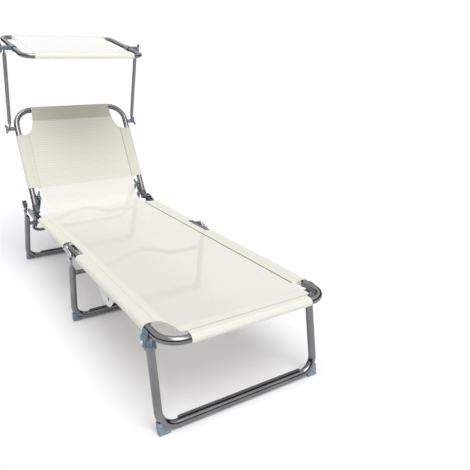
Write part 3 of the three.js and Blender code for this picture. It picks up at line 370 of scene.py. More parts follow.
# Each cloth: light, shadow and rib tone, how much it covers (1 if not given), rib pitch
CLOTHS = {
    "cream_mesh": ((0.85, 0.845, 0.77), (0.76, 0.755, 0.68), (0.73, 0.725, 0.65), 0.9),
    "cream_doubled": ((0.87, 0.865, 0.775), (0.77, 0.76, 0.67), (0.75, 0.74, 0.65), 0.98),
    # The lined, folded and header creams are the cream darkened as painted shade: less light through the
    # doubled layers, and the canopy's shadow on the upper backrest.
    "cream_lined_painted_shade": ((0.79, 0.785, 0.69), (0.7, 0.695, 0.61), (0.62, 0.615, 0.53), 0.95),
    "cream_folded_painted_shade": ((0.75, 0.742, 0.65), (0.68, 0.672, 0.58), (0.66, 0.65, 0.56)),
    "cream_header_painted_shade": ((0.61, 0.6, 0.5), (0.54, 0.53, 0.44), (0.52, 0.51, 0.42)),
    "shade_mesh": ((0.95, 0.945, 0.915), (0.88, 0.875, 0.84), (0.9, 0.895, 0.86)),
    "shade_doubled": ((0.93, 0.92, 0.85), (0.85, 0.84, 0.77), (0.87, 0.86, 0.79)),
    # Seam tones: a seam line with painted shade along it, and painted shadow in the step at a hem's edge.
    "seam_and_painted_shade": ((0.7, 0.7, 0.64), (0.6, 0.6, 0.55), (0.6, 0.6, 0.55)),
    "painted_hem_shadow": ((0.2, 0.2, 0.185), (0.15, 0.15, 0.14), (0.15, 0.15, 0.14)),
    "strap_webbing": ((0.83, 0.84, 0.8), (0.6, 0.61, 0.58), (0.66, 0.66, 0.62), 1.0, WEBBING_PITCH),
}
SEAM_THREAD = ((0.78, 0.78, 0.72), (0.6, 0.6, 0.55), (0.6, 0.6, 0.56), 1.0, SEAM_THREAD_PITCH)


# Frames of the sections

def turned(y, z, angle):
    return Matrix.Translation((0, y, z)) @ Matrix.Rotation(angle, 4, "X")


def sign_of(node):
    low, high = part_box(node)
    return 1 if low[0] + high[0] > 0 else -1


RECLINE_Y = FOOT_LENGTH + SEAT_LENGTH
RECLINE_Z = RAIL_Z + RECLINE_RISE
rail_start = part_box("seat_rail_left")[0][1]
row_shift = FOOT_LENGTH + FOLD_GAP - rail_start / MILLI
ROW = Matrix.Scale(MILLI, 4) @ Matrix.Translation((0, -row_shift, 0))
BED = Matrix.Identity(4)
FRONT_LEG = turned(FRONT_LEG_Y, LEG_Z, FRONT_TILT)
MID_LEG = turned(MID_LEG_Y, LEG_Z, MID_TILT)
REAR_LEG = turned(REAR_LEG_Y, REAR_LEG_Z, REAR_TILT)
BACK = turned(RECLINE_Y, RECLINE_Z, BACK_ANGLE)
BOW_FRAME = BACK @ turned(BOW_ALONG, -RECLINE_RISE, BOW_ANGLE - BACK_ANGLE)
ARMS = BACK @ turned(ARM_ALONG, -RECLINE_RISE, ARM_ANGLE - BACK_ANGLE)
SHADE = ARMS @ turned(ARM_LENGTH, 0, SHADE_ANGLE - ARM_ANGLE)
SIDES = {side: sign_of("seat_rail_" + side) for side in ("left", "right")}

# The bend of the cloth between the seat and the backrest
LEAN = BACK_ANGLE / 2
SHEET_GAP = RECLINE_RISE - SLEEVE
BEND_START = RECLINE_Y + (SHEET_GAP - BEND_RADIUS) * math.tan(LEAN)
BEND_END = (BEND_RADIUS - SHEET_GAP) * math.tan(LEAN)
BEND_MEET = BEND_START + BEND_RADIUS * LEAN
BACK_MEET = BEND_END - BEND_RADIUS * LEAN
BACK_OFFSET = BEND_MEET - BACK_MEET


# Camera, light and floor

def added(name, data):
    obj = bpy.data.objects.new(name, data)
    bpy.context.scene.collection.objects.link(obj)
    return obj


def set_camera():
    turn, rise = VIEW_TURN, VIEW_RISE
    right = Vector((math.cos(turn), math.sin(turn), 0))
    back = Vector((math.sin(turn) * math.cos(rise), -math.cos(turn) * math.cos(rise), math.sin(rise)))
    up = back.cross(right)
    rotation = Matrix((right, up, back)).transposed() @ Matrix.Rotation(VIEW_ROLL, 3, "Z")
    camera = added("view", bpy.data.cameras.new("view"))
    camera.data.lens = VIEW_LENS
    camera.data.sensor_width = VIEW_SENSOR
    camera.matrix_world = Matrix.Translation(ROW @ VIEW_FROM) @ rotation.to_4x4()
    bpy.context.scene.camera = camera


def backdrop_seen(tree):
    """1 where a ray comes from the camera, a gloss or a glass."""
    path = tree.nodes.new("ShaderNodeLightPath")
    seen = maths(tree, "MAXIMUM", path.outputs["Is Camera Ray"], path.outputs["Is Glossy Ray"])
    return maths(tree, "MAXIMUM", seen, path.outputs["Is Transmission Ray"])


def background(tree, tone, strength):
    node = tree.nodes.new("ShaderNodeBackground")
    node.inputs["Color"].default_value = tone
    node.inputs["Strength"].default_value = strength
    return node.outputs[0]


def set_world():
    """Even ambient light, with a white backdrop behind it."""
    world = bpy.data.worlds.new("studio")
    bpy.context.scene.world = world
    world.use_nodes = True
    tree = world.node_tree
    tree.nodes.clear()
    mix = tree.nodes.new("ShaderNodeMixShader")
    tree.links.new(backdrop_seen(tree), mix.inputs[0])
    tree.links.new(background(tree, AMBIENT_TONE, AMBIENT), mix.inputs[1])
    tree.links.new(background(tree, WHITE, 1), mix.inputs[2])
    out = tree.nodes.new("ShaderNodeOutputWorld")
    tree.links.new(mix.outputs[0], out.inputs[0])


def set_key_light():
    sun = bpy.data.lights.new("key", "SUN")
    sun.energy = KEY_STRENGTH
    sun.angle = KEY_SOFTNESS
    added("key", sun).rotation_euler = KEY_TURN


def staged(name, points, faces, tone, glow=0.0):
    """A matt sheet that belongs to the stage and not to the lounger."""
    mesh = bpy.data.meshes.new(name)
    mesh.from_pydata(points, [], faces)
    obj = added(name, mesh)
    matt = bpy.data.materials.new(name)
    matt.use_nodes = True
    shader = matt.node_tree.nodes["Principled BSDF"]
    shader.inputs["Base Color"].default_value = (*tone, 1)
    shader.inputs["Roughness"].default_value = 1
    shader.inputs["Specular IOR Level"].default_value = 0
    shader.inputs["Emission Color"].default_value = WHITE
    shader.inputs["Emission Strength"].default_value = glow
    mesh.materials.append(matt)
    return obj


def seen_in_gloss_only(obj):
    obj.visible_camera = False
    obj.visible_diffuse = False
    obj.visible_transmission = False
    obj.visible_shadow = False


def set_floor():
    half = FLOOR_SIZE / 2
    corners = [(-half, -half, -FLOOR_DROP), (half, -half, -FLOOR_DROP)]
    corners += [(half, half, -FLOOR_DROP), (-half, half, -FLOOR_DROP)]
    staged("floor", corners, [(0, 1, 2, 3)], FLOOR_TONE)


def set_reflections():
    """A dark band and a bright box that only gloss shows: the dark and light lines along the tubes."""
    points, faces = [], []
    for i in range(FLAG_SIDES):
        turn = 2 * math.pi * i / FLAG_SIDES
        x, y = FLAG_RADIUS * math.cos(turn), FLAG_RADIUS * math.sin(turn)
        points += [(x, y, 0), (x, y, FLAG_HEIGHT)]
        j = (i + 1) % FLAG_SIDES
        faces.append((2 * i, 2 * j, 2 * j + 1, 2 * i + 1))
    seen_in_gloss_only(staged("dark_band", points, faces, (FLAG_TONE, FLAG_TONE, FLAG_TONE)))
    corners = [(-BOX_HALF, -BOX_HALF, BOX_HEIGHT), (-BOX_HALF, BOX_HALF, BOX_HEIGHT)]
    corners += [(BOX_HALF, BOX_HALF, BOX_HEIGHT), (BOX_HALF, -BOX_HALF, BOX_HEIGHT)]
    seen_in_gloss_only(staged("light_box", corners, [(0, 1, 2, 3)], (0, 0, 0), BOX_STRENGTH))


# Small helpers for node trees

def joined_to(tree, socket, value):
    if isinstance(value, bpy.types.NodeSocket):
        tree.links.new(value, socket)
    else:
        socket.default_value = value


def maths(tree, operation, *values):
    node = tree.nodes.new("ShaderNodeMath")
    node.operation = operation
    for socket, value in zip(node.inputs, values):
        joined_to(tree, socket, value)
    return node.outputs[0]


def ranged(tree, value, low, high, to_low=0, to_high=1):
    node = tree.nodes.new("ShaderNodeMapRange")
    joined_to(tree, node.inputs["Value"], value)
    limits = {"From Min": low, "From Max": high, "To Min": to_low, "To Max": to_high}
    for label, number in limits.items():
        joined_to(tree, node.inputs[label], number)
    return node.outputs["Result"]


def noise(tree, vector, scale, detail=SLOW_DETAIL, roughness=NOISE_ROUGHNESS):
    node = tree.nodes.new("ShaderNodeTexNoise")
    node.inputs["Detail"].default_value = detail
    node.inputs["Roughness"].default_value = roughness
    joined_to(tree, node.inputs["Scale"], scale)
    joined_to(tree, node.inputs["Vector"], vector)
    return node.outputs["Fac"]


def blended(tree, share, first, second):
    node = tree.nodes.new("ShaderNodeMix")
    node.data_type = "RGBA"
    joined_to(tree, node.inputs["Factor"], share)
    joined_to(tree, node.inputs["A"], first)
    joined_to(tree, node.inputs["B"], second)
    return node.outputs["Result"]


def effect(name, outputs, **inputs):
    """A node group that reads a vector and named numbers, and puts out named masks."""
    tree = bpy.data.node_groups.new(name, "ShaderNodeTree")
    face = tree.interface
    face.new_socket(name="Vector", in_out="INPUT", socket_type="NodeSocketVector")
    for label, value in inputs.items():
        label = label.replace("_", " ")
        face.new_socket(name=label, in_out="INPUT", socket_type="NodeSocketFloat").default_value = value
    for label in outputs:
        face.new_socket(name=label, in_out="OUTPUT", socket_type="NodeSocketFloat")
    entry = tree.nodes.new("NodeGroupInput")
    leaving = tree.nodes.new("NodeGroupOutput")
    return tree, entry.outputs, leaving.inputs


def placed_effect(tree, group, **values):
    node = tree.nodes.new("ShaderNodeGroup")
    node.node_tree = group
    for label, value in values.items():
        joined_to(tree, node.inputs[label.replace("_", " ")], value)
    return node.outputs


# Effects that several finishes share

def weave_effect():
    """Coated yarn: crossing threads, and a thicker rib across the cloth at every rib pitch."""
    tree, given, out = effect(
        "weave", ["Threads", "Ribs", "Height"],
        Thread_pitch=THREAD_PITCH, Rib_pitch=RIB_PITCH, Rib_share=RIB_SHARE,
    )
    parts = tree.nodes.new("ShaderNodeSeparateXYZ")
    tree.links.new(given["Vector"], parts.inputs[0])
    threads = []
    for axis in ("X", "Y"):
        turns = maths(tree, "DIVIDE", parts.outputs[axis], given["Thread pitch"])
        wave = maths(tree, "SINE", maths(tree, "MULTIPLY", turns, 2 * math.pi))
        threads.append(maths(tree, "MULTIPLY_ADD", wave, MIDDLE, MIDDLE))
    crossing = maths(tree, "MULTIPLY", threads[0], threads[1])
    rib_turn = maths(tree, "FRACT", maths(tree, "DIVIDE", parts.outputs["Y"], given["Rib pitch"]))
    rib_edge = maths(tree, "ABSOLUTE", maths(tree, "SUBTRACT", rib_turn, MIDDLE))
    rib_start = maths(tree, "SUBTRACT", MIDDLE, maths(tree, "MULTIPLY", given["Rib share"], MIDDLE))
    rib = maths(tree, "SUBTRACT", 1, ranged(tree, rib_edge, MIDDLE, rib_start))
    tree.links.new(crossing, out["Threads"])
    tree.links.new(rib, out["Ribs"])
    tree.links.new(maths(tree, "MULTIPLY_ADD", rib, RIB_HEIGHT_SHARE, crossing), out["Height"])
    return tree


def grain_effect():
    """Fine unevenness of a surface, with a slow drift of its tone."""
    tree, given, out = effect(
        "grain", ["Fine", "Slow", "Height"],
        Fine_scale=STEEL_FINE_SCALE, Slow_scale=STEEL_SLOW_SCALE,
    )
    fine = noise(tree, given["Vector"], given["Fine scale"], FINE_DETAIL, FINE_NOISE_ROUGHNESS)
    slow = noise(tree, given["Vector"], given["Slow scale"])
    tree.links.new(fine, out["Fine"])
    tree.links.new(slow, out["Slow"])
    tree.links.new(maths(tree, "MULTIPLY_ADD", slow, SLOW_HEIGHT_SHARE, fine), out["Height"])
    return tree


def edge_wear_effect():
    """1 on edges that stick out, broken up by noise."""
    start, end = WEAR_EDGES
    tree, given, out = effect("edge_wear", ["Wear"], Start=start, End=end, Breakup_scale=WEAR_SCALE)
    geometry = tree.nodes.new("ShaderNodeNewGeometry")
    edge = ranged(tree, geometry.outputs["Pointiness"], given["Start"], given["End"])
    broken = ranged(tree, noise(tree, given["Vector"], given["Breakup scale"]), *WEAR_PATCHES)
    tree.links.new(maths(tree, "MULTIPLY", edge, broken), out["Wear"])
    return tree


def dust_effect():
    """Thin dust that lies on what faces up."""
    tree, given, out = effect("dust", ["Dust"], Amount=DUST_SHARE, Patch_scale=DUST_SCALE)
    geometry = tree.nodes.new("ShaderNodeNewGeometry")
    parts = tree.nodes.new("ShaderNodeSeparateXYZ")
    tree.links.new(geometry.outputs["Normal"], parts.inputs[0])
    up = ranged(tree, parts.outputs["Z"], *DUST_SLOPES)
    patch = ranged(tree, noise(tree, given["Vector"], given["Patch scale"], FINE_DETAIL), *DUST_PATCHES)
    lying = maths(tree, "MULTIPLY", maths(tree, "MULTIPLY", up, patch), given["Amount"])
    tree.links.new(lying, out["Dust"])
    return tree


weave = weave_effect()
grain = grain_effect()
edge_wear = edge_wear_effect()
dust = dust_effect()


# Finishes

def finish(name, roughness, metallic=0.0):
    made = bpy.data.materials.new(name)
    made.use_nodes = True
    tree = made.node_tree
    shader = tree.nodes["Principled BSDF"]
    shader.inputs["Roughness"].default_value = roughness
    shader.inputs["Metallic"].default_value = metallic
    return made, tree, shader


def bumped(tree, shader, height, relief):
    bump = tree.nodes.new("ShaderNodeBump")
    bump.inputs["Strength"].default_value, bump.inputs["Distance"].default_value = relief
    tree.links.new(height, bump.inputs["Height"])
    tree.links.new(bump.outputs["Normal"], shader.inputs["Normal"])


def toned(tree, share, first, second):
    """One tone drawn over another. A tone is a colour of three values, or a socket."""
    tones = [t if isinstance(t, bpy.types.NodeSocket) else (*t, 1) for t in (first, second)]
    return blended(tree, share, *tones)


def varied_roughness(tree, shader, fine, roughness, shares):
    low, high = [roughness * share for share in shares]
    tree.links.new(ranged(tree, fine, *FINE_RANGE, low, high), shader.inputs["Roughness"])


def steel_finish(name, dark, light, worn, roughness, metallic):
    """Coated or plated metal: drifting tone and brighter worn edges."""
    made, tree, shader = finish(name, roughness, metallic)
    place = tree.nodes.new("ShaderNodeTexCoord").outputs["Object"]
    grains = placed_effect(
        tree, grain, Vector=place, Fine_scale=STEEL_FINE_SCALE, Slow_scale=STEEL_SLOW_SCALE
    )
    colour = toned(tree, ranged(tree, grains["Slow"], *STEEL_DRIFT), dark, light)
    wear = placed_effect(tree, edge_wear, Vector=place)["Wear"]
    tree.links.new(toned(tree, wear, colour, worn), shader.inputs["Base Color"])
    varied_roughness(tree, shader, grains["Fine"], roughness, STEEL_ROUGH_SHARES)
    bumped(tree, shader, grains["Height"], STEEL_RELIEF)
    return made


def plastic_finish(name, base, light, worn, roughness):
    """Moulded plastic: fine speckled texture, paler scuffed edges and dust on top."""
    made, tree, shader = finish(name, roughness)
    place = tree.nodes.new("ShaderNodeTexCoord").outputs["Object"]
    grains = placed_effect(
        tree, grain, Vector=place, Fine_scale=PLASTIC_FINE_SCALE, Slow_scale=PLASTIC_SLOW_SCALE
    )
    colour = toned(tree, ranged(tree, grains["Slow"], *PLASTIC_DRIFT), base, light)
    wear = placed_effect(tree, edge_wear, Vector=place)["Wear"]
    colour = toned(tree, maths(tree, "MULTIPLY", wear, PLASTIC_WEAR_SHARE), colour, worn)
    dusty = placed_effect(tree, dust, Vector=place, Amount=DUST_SHARE)["Dust"]
    tree.links.new(blended(tree, dusty, colour, DUST_TONE), shader.inputs["Base Color"])
    varied_roughness(tree, shader, grains["Fine"], roughness, PLASTIC_ROUGH_SHARES)
    bumped(tree, shader, grains["Fine"], PLASTIC_RELIEF)
    return made


def cloth_finish(name, light, shadow, rib_tone, cover=1.0, rib_pitch=RIB_PITCH):
    """Coated mesh cloth. Below full cover, a little of what is behind it shows, once for its two faces."""
    made, tree, shader = finish(name, CLOTH_ROUGHNESS)
    uv = tree.nodes.new("ShaderNodeUVMap")
    uv.uv_map = "cloth"
    threads = placed_effect(tree, weave, Vector=uv.outputs["UV"], Rib_pitch=rib_pitch)
    slow = noise(tree, uv.outputs["UV"], CLOTH_PATCH_SCALE, FINE_DETAIL)
    colour = toned(tree, maths(tree, "MULTIPLY", threads["Threads"], THREAD_TONE_SHARE), light, shadow)
    colour = toned(tree, maths(tree, "MULTIPLY", threads["Ribs"], RIB_TONE_SHARE), colour, rib_tone)
    colour = toned(tree, ranged(tree, slow, *CLOTH_PATCHES, 0, CLOTH_PATCH_SHARE), colour, shadow)
    tree.links.new(colour, shader.inputs["Base Color"])
    if cover < 1:
        inside = tree.nodes.new("ShaderNodeNewGeometry").outputs["Backfacing"]
        solid = maths(tree, "MULTIPLY", maths(tree, "SUBTRACT", 1, inside), cover)
        tree.links.new(solid, shader.inputs["Alpha"])
    shader.inputs["Sheen Weight"].default_value = CLOTH_SHEEN
    shader.inputs["Specular IOR Level"].default_value = CLOTH_GLOSS
    bumped(tree, shader, threads["Height"], CLOTH_RELIEF)
    return made


FINISHES = {name: steel_finish(name, *look) for name, look in METALS.items()}
FINISHES.update({name: plastic_finish(name, *look) for name, look in PLASTICS.items()})
CLOTH_FINISHES = [cloth_finish(name, *look) for name, look in CLOTHS.items()]
PLAIN, DOUBLED, PAINTED_SHADE_LINED, PAINTED_SHADE_FOLDED, PAINTED_SHADE_HEADER, SHADE_PLAIN, SHADE_DOUBLED, SEAM_AND_PAINTED_SHADE_LINE, PAINTED_HEM_SHADOW_LINE, WEBBING = range(
    len(CLOTH_FINISHES)
)
seam_thread = cloth_finish("seam_thread", *SEAM_THREAD)


# Trees that follow a path

def path_tree(name, inputs):
    tree = bpy.data.node_groups.new(name, "GeometryNodeTree")
    face = tree.interface
    face.new_socket(name="Geometry", in_out="INPUT", socket_type="NodeSocketGeometry")
    for label, kind, value in inputs:
        socket = face.new_socket(name=label, in_out="INPUT", socket_type=kind)
        if value is not None:
            socket.default_value = value
    face.new_socket(name="Geometry", in_out="OUTPUT", socket_type="NodeSocketGeometry")
    entry = tree.nodes.new("NodeGroupInput")
    leaving = tree.nodes.new("NodeGroupOutput")
    return tree, entry.outputs, leaving.inputs


def closing_nodes(tree, geometry, material, out):
    real = tree.nodes.new("GeometryNodeRealizeInstances")
    tree.links.new(geometry, real.inputs[0])
    coloured = tree.nodes.new("GeometryNodeSetMaterial")
    tree.links.new(real.outputs[0], coloured.inputs["Geometry"])
    tree.links.new(material, coloured.inputs["Material"])
    tree.links.new(coloured.outputs[0], out["Geometry"])


def bent_tube_tree():
    """A round tube along a line of corners, with each corner bent to one radius."""
    tree, given, out = path_tree("bent_tube", [
        ("Tube radius", "NodeSocketFloat", TUBE),
        ("Bend radius", "NodeSocketFloat", FOOT_BEND),
        ("Step", "NodeSocketFloat", TUBE_STEP),
        ("Sides", "NodeSocketInt", TUBE_SIDES),
        ("Bend steps", "NodeSocketInt", BEND_STEPS),
        ("Material", "NodeSocketMaterial", None),
    ])
    line = tree.nodes.new("GeometryNodeMeshToCurve")
    tree.links.new(given["Geometry"], line.inputs["Mesh"])
    bend = tree.nodes.new("GeometryNodeFilletCurve")
    bend.mode = "POLY"
    tree.links.new(line.outputs[0], bend.inputs["Curve"])
    tree.links.new(given["Bend steps"], bend.inputs["Count"])
    tree.links.new(given["Bend radius"], bend.inputs["Radius"])
    even = tree.nodes.new("GeometryNodeResampleCurve")
    even.mode = "LENGTH"
    tree.links.new(bend.outputs[0], even.inputs["Curve"])
    tree.links.new(given["Step"], even.inputs["Length"])
    ring = tree.nodes.new("GeometryNodeCurvePrimitiveCircle")
    tree.links.new(given["Sides"], ring.inputs["Resolution"])
    tree.links.new(given["Tube radius"], ring.inputs["Radius"])
    skin = tree.nodes.new("GeometryNodeCurveToMesh")
    skin.inputs["Fill Caps"].default_value = True
    tree.links.new(even.outputs[0], skin.inputs["Curve"])
    tree.links.new(ring.outputs[0], skin.inputs["Profile Curve"])
    closing_nodes(tree, skin.outputs[0], given["Material"], out)
    return tree


def stitch_tree():
    """Short rounded threads laid end to end along a seam."""
    tree, given, out = path_tree("stitches", [
        ("Pitch", "NodeSocketFloat", STITCH_PITCH),
        ("Length", "NodeSocketFloat", STITCH_LENGTH),
        ("Thread radius", "NodeSocketFloat", STITCH_RADIUS),
        ("Material", "NodeSocketMaterial", None),
    ])
    line = tree.nodes.new("GeometryNodeMeshToCurve")
    tree.links.new(given["Geometry"], line.inputs["Mesh"])
    even = tree.nodes.new("GeometryNodeResampleCurve")
    even.mode = "LENGTH"
    tree.links.new(line.outputs[0], even.inputs["Curve"])
    tree.links.new(given["Pitch"], even.inputs["Length"])
    along = tree.nodes.new("GeometryNodeInputTangent")
    facing = tree.nodes.new("FunctionNodeAlignRotationToVector")
    facing.axis = "Z"
    tree.links.new(along.outputs[0], facing.inputs["Vector"])
    thread = tree.nodes.new("GeometryNodeMeshIcoSphere")
    thread.inputs["Subdivisions"].default_value = 1
    tree.links.new(given["Thread radius"], thread.inputs["Radius"])
    stretch = tree.nodes.new("ShaderNodeCombineXYZ")
    stretch.inputs["X"].default_value = 1
    stretch.inputs["Y"].default_value = 1
    ratio = tree.nodes.new("ShaderNodeMath")
    ratio.operation = "DIVIDE"
    tree.links.new(given["Length"], ratio.inputs[0])
    thick = tree.nodes.new("ShaderNodeMath")
    thick.operation = "ADD"
    tree.links.new(given["Thread radius"], thick.inputs[0])
    tree.links.new(given["Thread radius"], thick.inputs[1])
    tree.links.new(thick.outputs[0], ratio.inputs[1])
    tree.links.new(ratio.outputs[0], stretch.inputs["Z"])
    copies = tree.nodes.new("GeometryNodeInstanceOnPoints")
    tree.links.new(even.outputs[0], copies.inputs["Points"])
    tree.links.new(thread.outputs["Mesh"], copies.inputs["Instance"])
    tree.links.new(facing.outputs[0], copies.inputs["Rotation"])
    tree.links.new(stretch.outputs[0], copies.inputs["Scale"])
    closing_nodes(tree, copies.outputs[0], given["Material"], out)
    return tree


bent_tube = bent_tube_tree()
stitches = stitch_tree()


def evaluated(obj):
    """The mesh that an object's modifiers make. The object itself goes."""
    depsgraph = bpy.context.evaluated_depsgraph_get()
    mesh = bpy.data.meshes.new_from_object(obj.evaluated_get(depsgraph), depsgraph=depsgraph)
    bpy.data.objects.remove(obj)
    return mesh


def grown(tree, lines, closed=False, **values):
    """The mesh that a tree grows along lines of points."""
    points, edges = [], []
    for line in lines:
        start = len(points)
        points += [tuple(p) for p in line]
        edges += [(start + i, start + i + 1) for i in range(len(line) - 1)]
        if closed:
            edges.append((start + len(line) - 1, start))
    seed = bpy.data.meshes.new("line")
    seed.from_pydata(points, edges, [])
    obj = added("line", seed)
    modifier = obj.modifiers.new("grow", "NODES")
    modifier.node_group = tree
    sockets = {s.name: s.identifier for s in tree.interface.items_tree if s.in_out == "INPUT"}
    for label, value in values.items():
        modifier[sockets[label.replace("_", " ")]] = value
    mesh = evaluated(obj)
    bpy.data.meshes.remove(seed)
    return mesh


# Making a mesh into a piece

def edited(mesh, change):
    work = bmesh.new()
    work.from_mesh(mesh)
    change(work)
    work.to_mesh(mesh)
    work.free()
    return mesh


def rounded(work, rims, width, segments):
    bmesh.ops.bevel(work, geom=rims, offset=width, segments=segments, affect="EDGES", clamp_overlap=True)


def merged(meshes):
    """One mesh out of several, with the material slots of the first."""
    def change(work):
        for mesh in meshes[1:]:
            work.from_mesh(mesh)
    return edited(meshes[0], change)


def piece(name, mesh, place, slot, nodes, body=None, material=None):
    """A finished piece in the row frame. It takes its body from the first CAD node that it stands for."""
    mesh.name = name
    mesh.transform(ROW @ place)
    material = material or FINISHES.get(slot)
    if material:
        mesh.materials.clear()
        mesh.materials.append(material)
    mesh.shade_smooth()
    mesh.set_sharp_from_angle(angle=SHARP)
    obj = added(name, mesh)
    if nodes:
        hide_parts(*nodes)
    if body is None:
        body = body_of(frame["nodes"][nodes[0]])[0]
    if body:
        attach(obj, body)
    return obj


# Tubes

def u_line(half, top, far, across="Z", fixed=0.0):
    """Corners of a U that opens at top and runs along Z or Y, in the XZ or XY plane."""
    corners = [(-half, top), (-half, far), (half, far), (half, top)]
    if across == "Z":
        return [Vector((x, fixed, z)) for x, z in corners]
    return [Vector((x, y, fixed)) for x, y in corners]


def tube_mesh(line, radius, bend, step=TUBE_STEP, closed=False):
    return grown(
        bent_tube, [line], closed,
        Tube_radius=radius, Bend_radius=bend, Step=step, Sides=TUBE_SIDES, Bend_steps=BEND_STEPS,
        Material=FINISHES["frame_tube"],
    )


def open_tube(line, radius, bend):
    """A tube whose flat ends become an open rim with a short bore."""
    def change(work):
        caps = [face for face in work.faces if len(face.verts) > TUBE_SIDES / 2]
        for cap in caps:
            bmesh.ops.inset_region(work, faces=[cap], thickness=TUBE_WALL, depth=0)
            bmesh.ops.inset_region(work, faces=[cap], thickness=0, depth=-radius)
    return edited(tube_mesh(line, radius, bend), change)


def eased(share):
    share = min(max(share, 0), 1)
    return share * share * (3 - 2 * share)


def press_end(mesh, at, heading, shift, radius, half, width, flat, taper, tip):
    """Flattens the end of a tube at a point, with the plate moved sideways by shift."""
    across = heading.cross(Vector((1, 0, 0)))
    for vertex in mesh.vertices:
        off = vertex.co - at
        reach = off.dot(heading)
        if reach > flat + taper or abs(off.x) > 2 * radius:
            continue
        share = 1.0 if reach <= flat else eased((flat + taper - reach) / taper)
        side, rise = off.x, off.dot(across)
        turn = math.atan2(rise, side)
        narrow = 1.0
        if reach < tip:
            narrow = TIP_SHARE + (1 - TIP_SHARE) * math.sqrt(max(0, 1 - (1 - reach / tip) ** 2))
        length = math.hypot(side, rise) / radius
        plate_side = half * length * max(-1, min(1, PRESSED_SQUARENESS * math.cos(turn)))
        plate_rise = width * length * narrow * math.sin(turn)
        new_side = side + (plate_side + shift - side) * share
        new_rise = rise + (plate_rise - rise) * share
        vertex.co += Vector((1, 0, 0)) * (new_side - side) + across * (new_rise - rise)


def leg_length(pivot_z, tilt):
    return (pivot_z - BAR_Z) / math.cos(tilt)


def pressed_leg(track, top, length, plate_x, flat):
    mesh = tube_mesh(u_line(track, top, -length), TUBE, LEG_BEND, PRESSED_STEP)
    for side in (-1, 1):
        press_end(
            mesh, Vector((side * track, 0, top)), Vector((0, 0, -1)), side * (plate_x - track),
            TUBE, LEG_PRESSED_HALF, LEG_PRESSED_WIDTH, flat, LEG_TAPER, LEG_TIP,
        )
    return mesh


def rod_mesh(length):
    z = TUBE + ROD + COPE_GAP - length
    line = [Vector((-ROD_HALF + 2 * ROD_HALF * i / ROD_STEPS, 0, z)) for i in range(ROD_STEPS + 1)]

    def change(work):
        rims = [e for e in work.edges if e.is_manifold and e.calc_face_angle(0) > RIM_ANGLE]
        rounded(work, rims, ROD_ROUND, ROD_SEGMENTS)
    return edited(tube_mesh(line, ROD, 0, ROD), change)


def arch_line(half, z):
    line = []
    for i in range(ARCH_STEPS + 1):
        x = -half + 2 * half * i / ARCH_STEPS
        rise = ARCH_HEIGHT * (1 + math.cos(math.pi * x / ARCH_HALF)) / 2 if abs(x) < ARCH_HALF else 0
        line.append(Vector((x, 0, z + rise)))
    return line


def saddle(track, depth, side, radius, grow):
    """Points where a crossbar's skin meets a leg tube."""
    points = []
    for i in range(TUBE_SIDES):
        turn = 2 * math.pi * i / TUBE_SIDES
        y = radius * math.cos(turn)
        inner = math.sqrt((TUBE + grow) ** 2 - min(abs(y), TUBE) ** 2)
        points.append(Vector((side * (track - inner), y, -depth + radius * math.sin(turn))))
    return points


def crossbar_mesh(track, depth):
    """The arched bar, its ends cut to the leg tubes, with a weld bead round each."""
    half = track - TUBE
    bar = tube_mesh(arch_line(half, -depth), CROSSBAR, 0, TUBE_STEP)
    for vertex in bar.vertices:
        if half - abs(vertex.co.x) < COPE_GAP:
            inner = math.sqrt((TUBE + COPE_GAP) ** 2 - vertex.co.y ** 2)
            vertex.co.x = math.copysign(track - inner, vertex.co.x)
    seat = CROSSBAR + WELD_BEAD / 2
    rings = [saddle(track, depth, side, seat, COPE_GAP) for side in (-1, 1)]
    return merged([bar, *[tube_mesh(ring, WELD_BEAD, 0, WELD_BEAD, True) for ring in rings]])


def tube_piece(name, mesh, place, node):
    piece(name, mesh, place, "frame_tube", [node])


def make_bed_tubes():
    for side, sign in SIDES.items():
        x = sign * RAIL_TRACK
        line = [Vector((x, FOOT_LENGTH + FOLD_GAP, RAIL_Z)), Vector((x, RECLINE_Y - RAIL_GAP, RAIL_Z))]
        tube_piece("rail_tube_" + side, open_tube(line, TUBE, 0), BED, "seat_rail_" + side)
    line = u_line(RAIL_TRACK, FOOT_LENGTH - FOLD_GAP, 0, "Y", RAIL_Z)
    tube_piece("foot_tube", open_tube(line, TUBE, FOOT_BEND), BED, "foot_frame")


def make_legs():
    front = leg_length(LEG_Z, FRONT_TILT)
    mesh = open_tube(u_line(FRONT_TRACK, FRONT_TOP, -front), TUBE, LEG_BEND)
    tube_piece("front_leg_tube", mesh, FRONT_LEG, "front_leg_frame")
    # The rod's darker steel tone is painted shade.
    piece("front_rod", rod_mesh(front), FRONT_LEG, "dark_steel", ["front_leg_rod"])
    mid, rear = leg_length(LEG_Z, MID_TILT), leg_length(REAR_LEG_Z, REAR_TILT)
    for name, place, length, track, top, plate_x, flat, depth in (
        ("mid", MID_LEG, mid, MID_TRACK, MID_TOP, MID_PLATE_X, MID_FLAT, MID_CROSSBAR_DEPTH),
        ("rear", REAR_LEG, rear, REAR_TRACK, REAR_TOP, REAR_PLATE_X, REAR_FLAT, REAR_CROSSBAR_DEPTH),
    ):
        mesh = pressed_leg(track, top, length, plate_x, flat)
        tube_piece(name + "_leg_tube", mesh, place, name + "_leg_frame")
        # The rod's darker steel tone is painted shade.
        piece(name + "_rod", rod_mesh(length), place, "dark_steel", [name + "_leg_rod"])
        tube_piece(name + "_arch", crossbar_mesh(track, depth), place, name + "_crossbar")


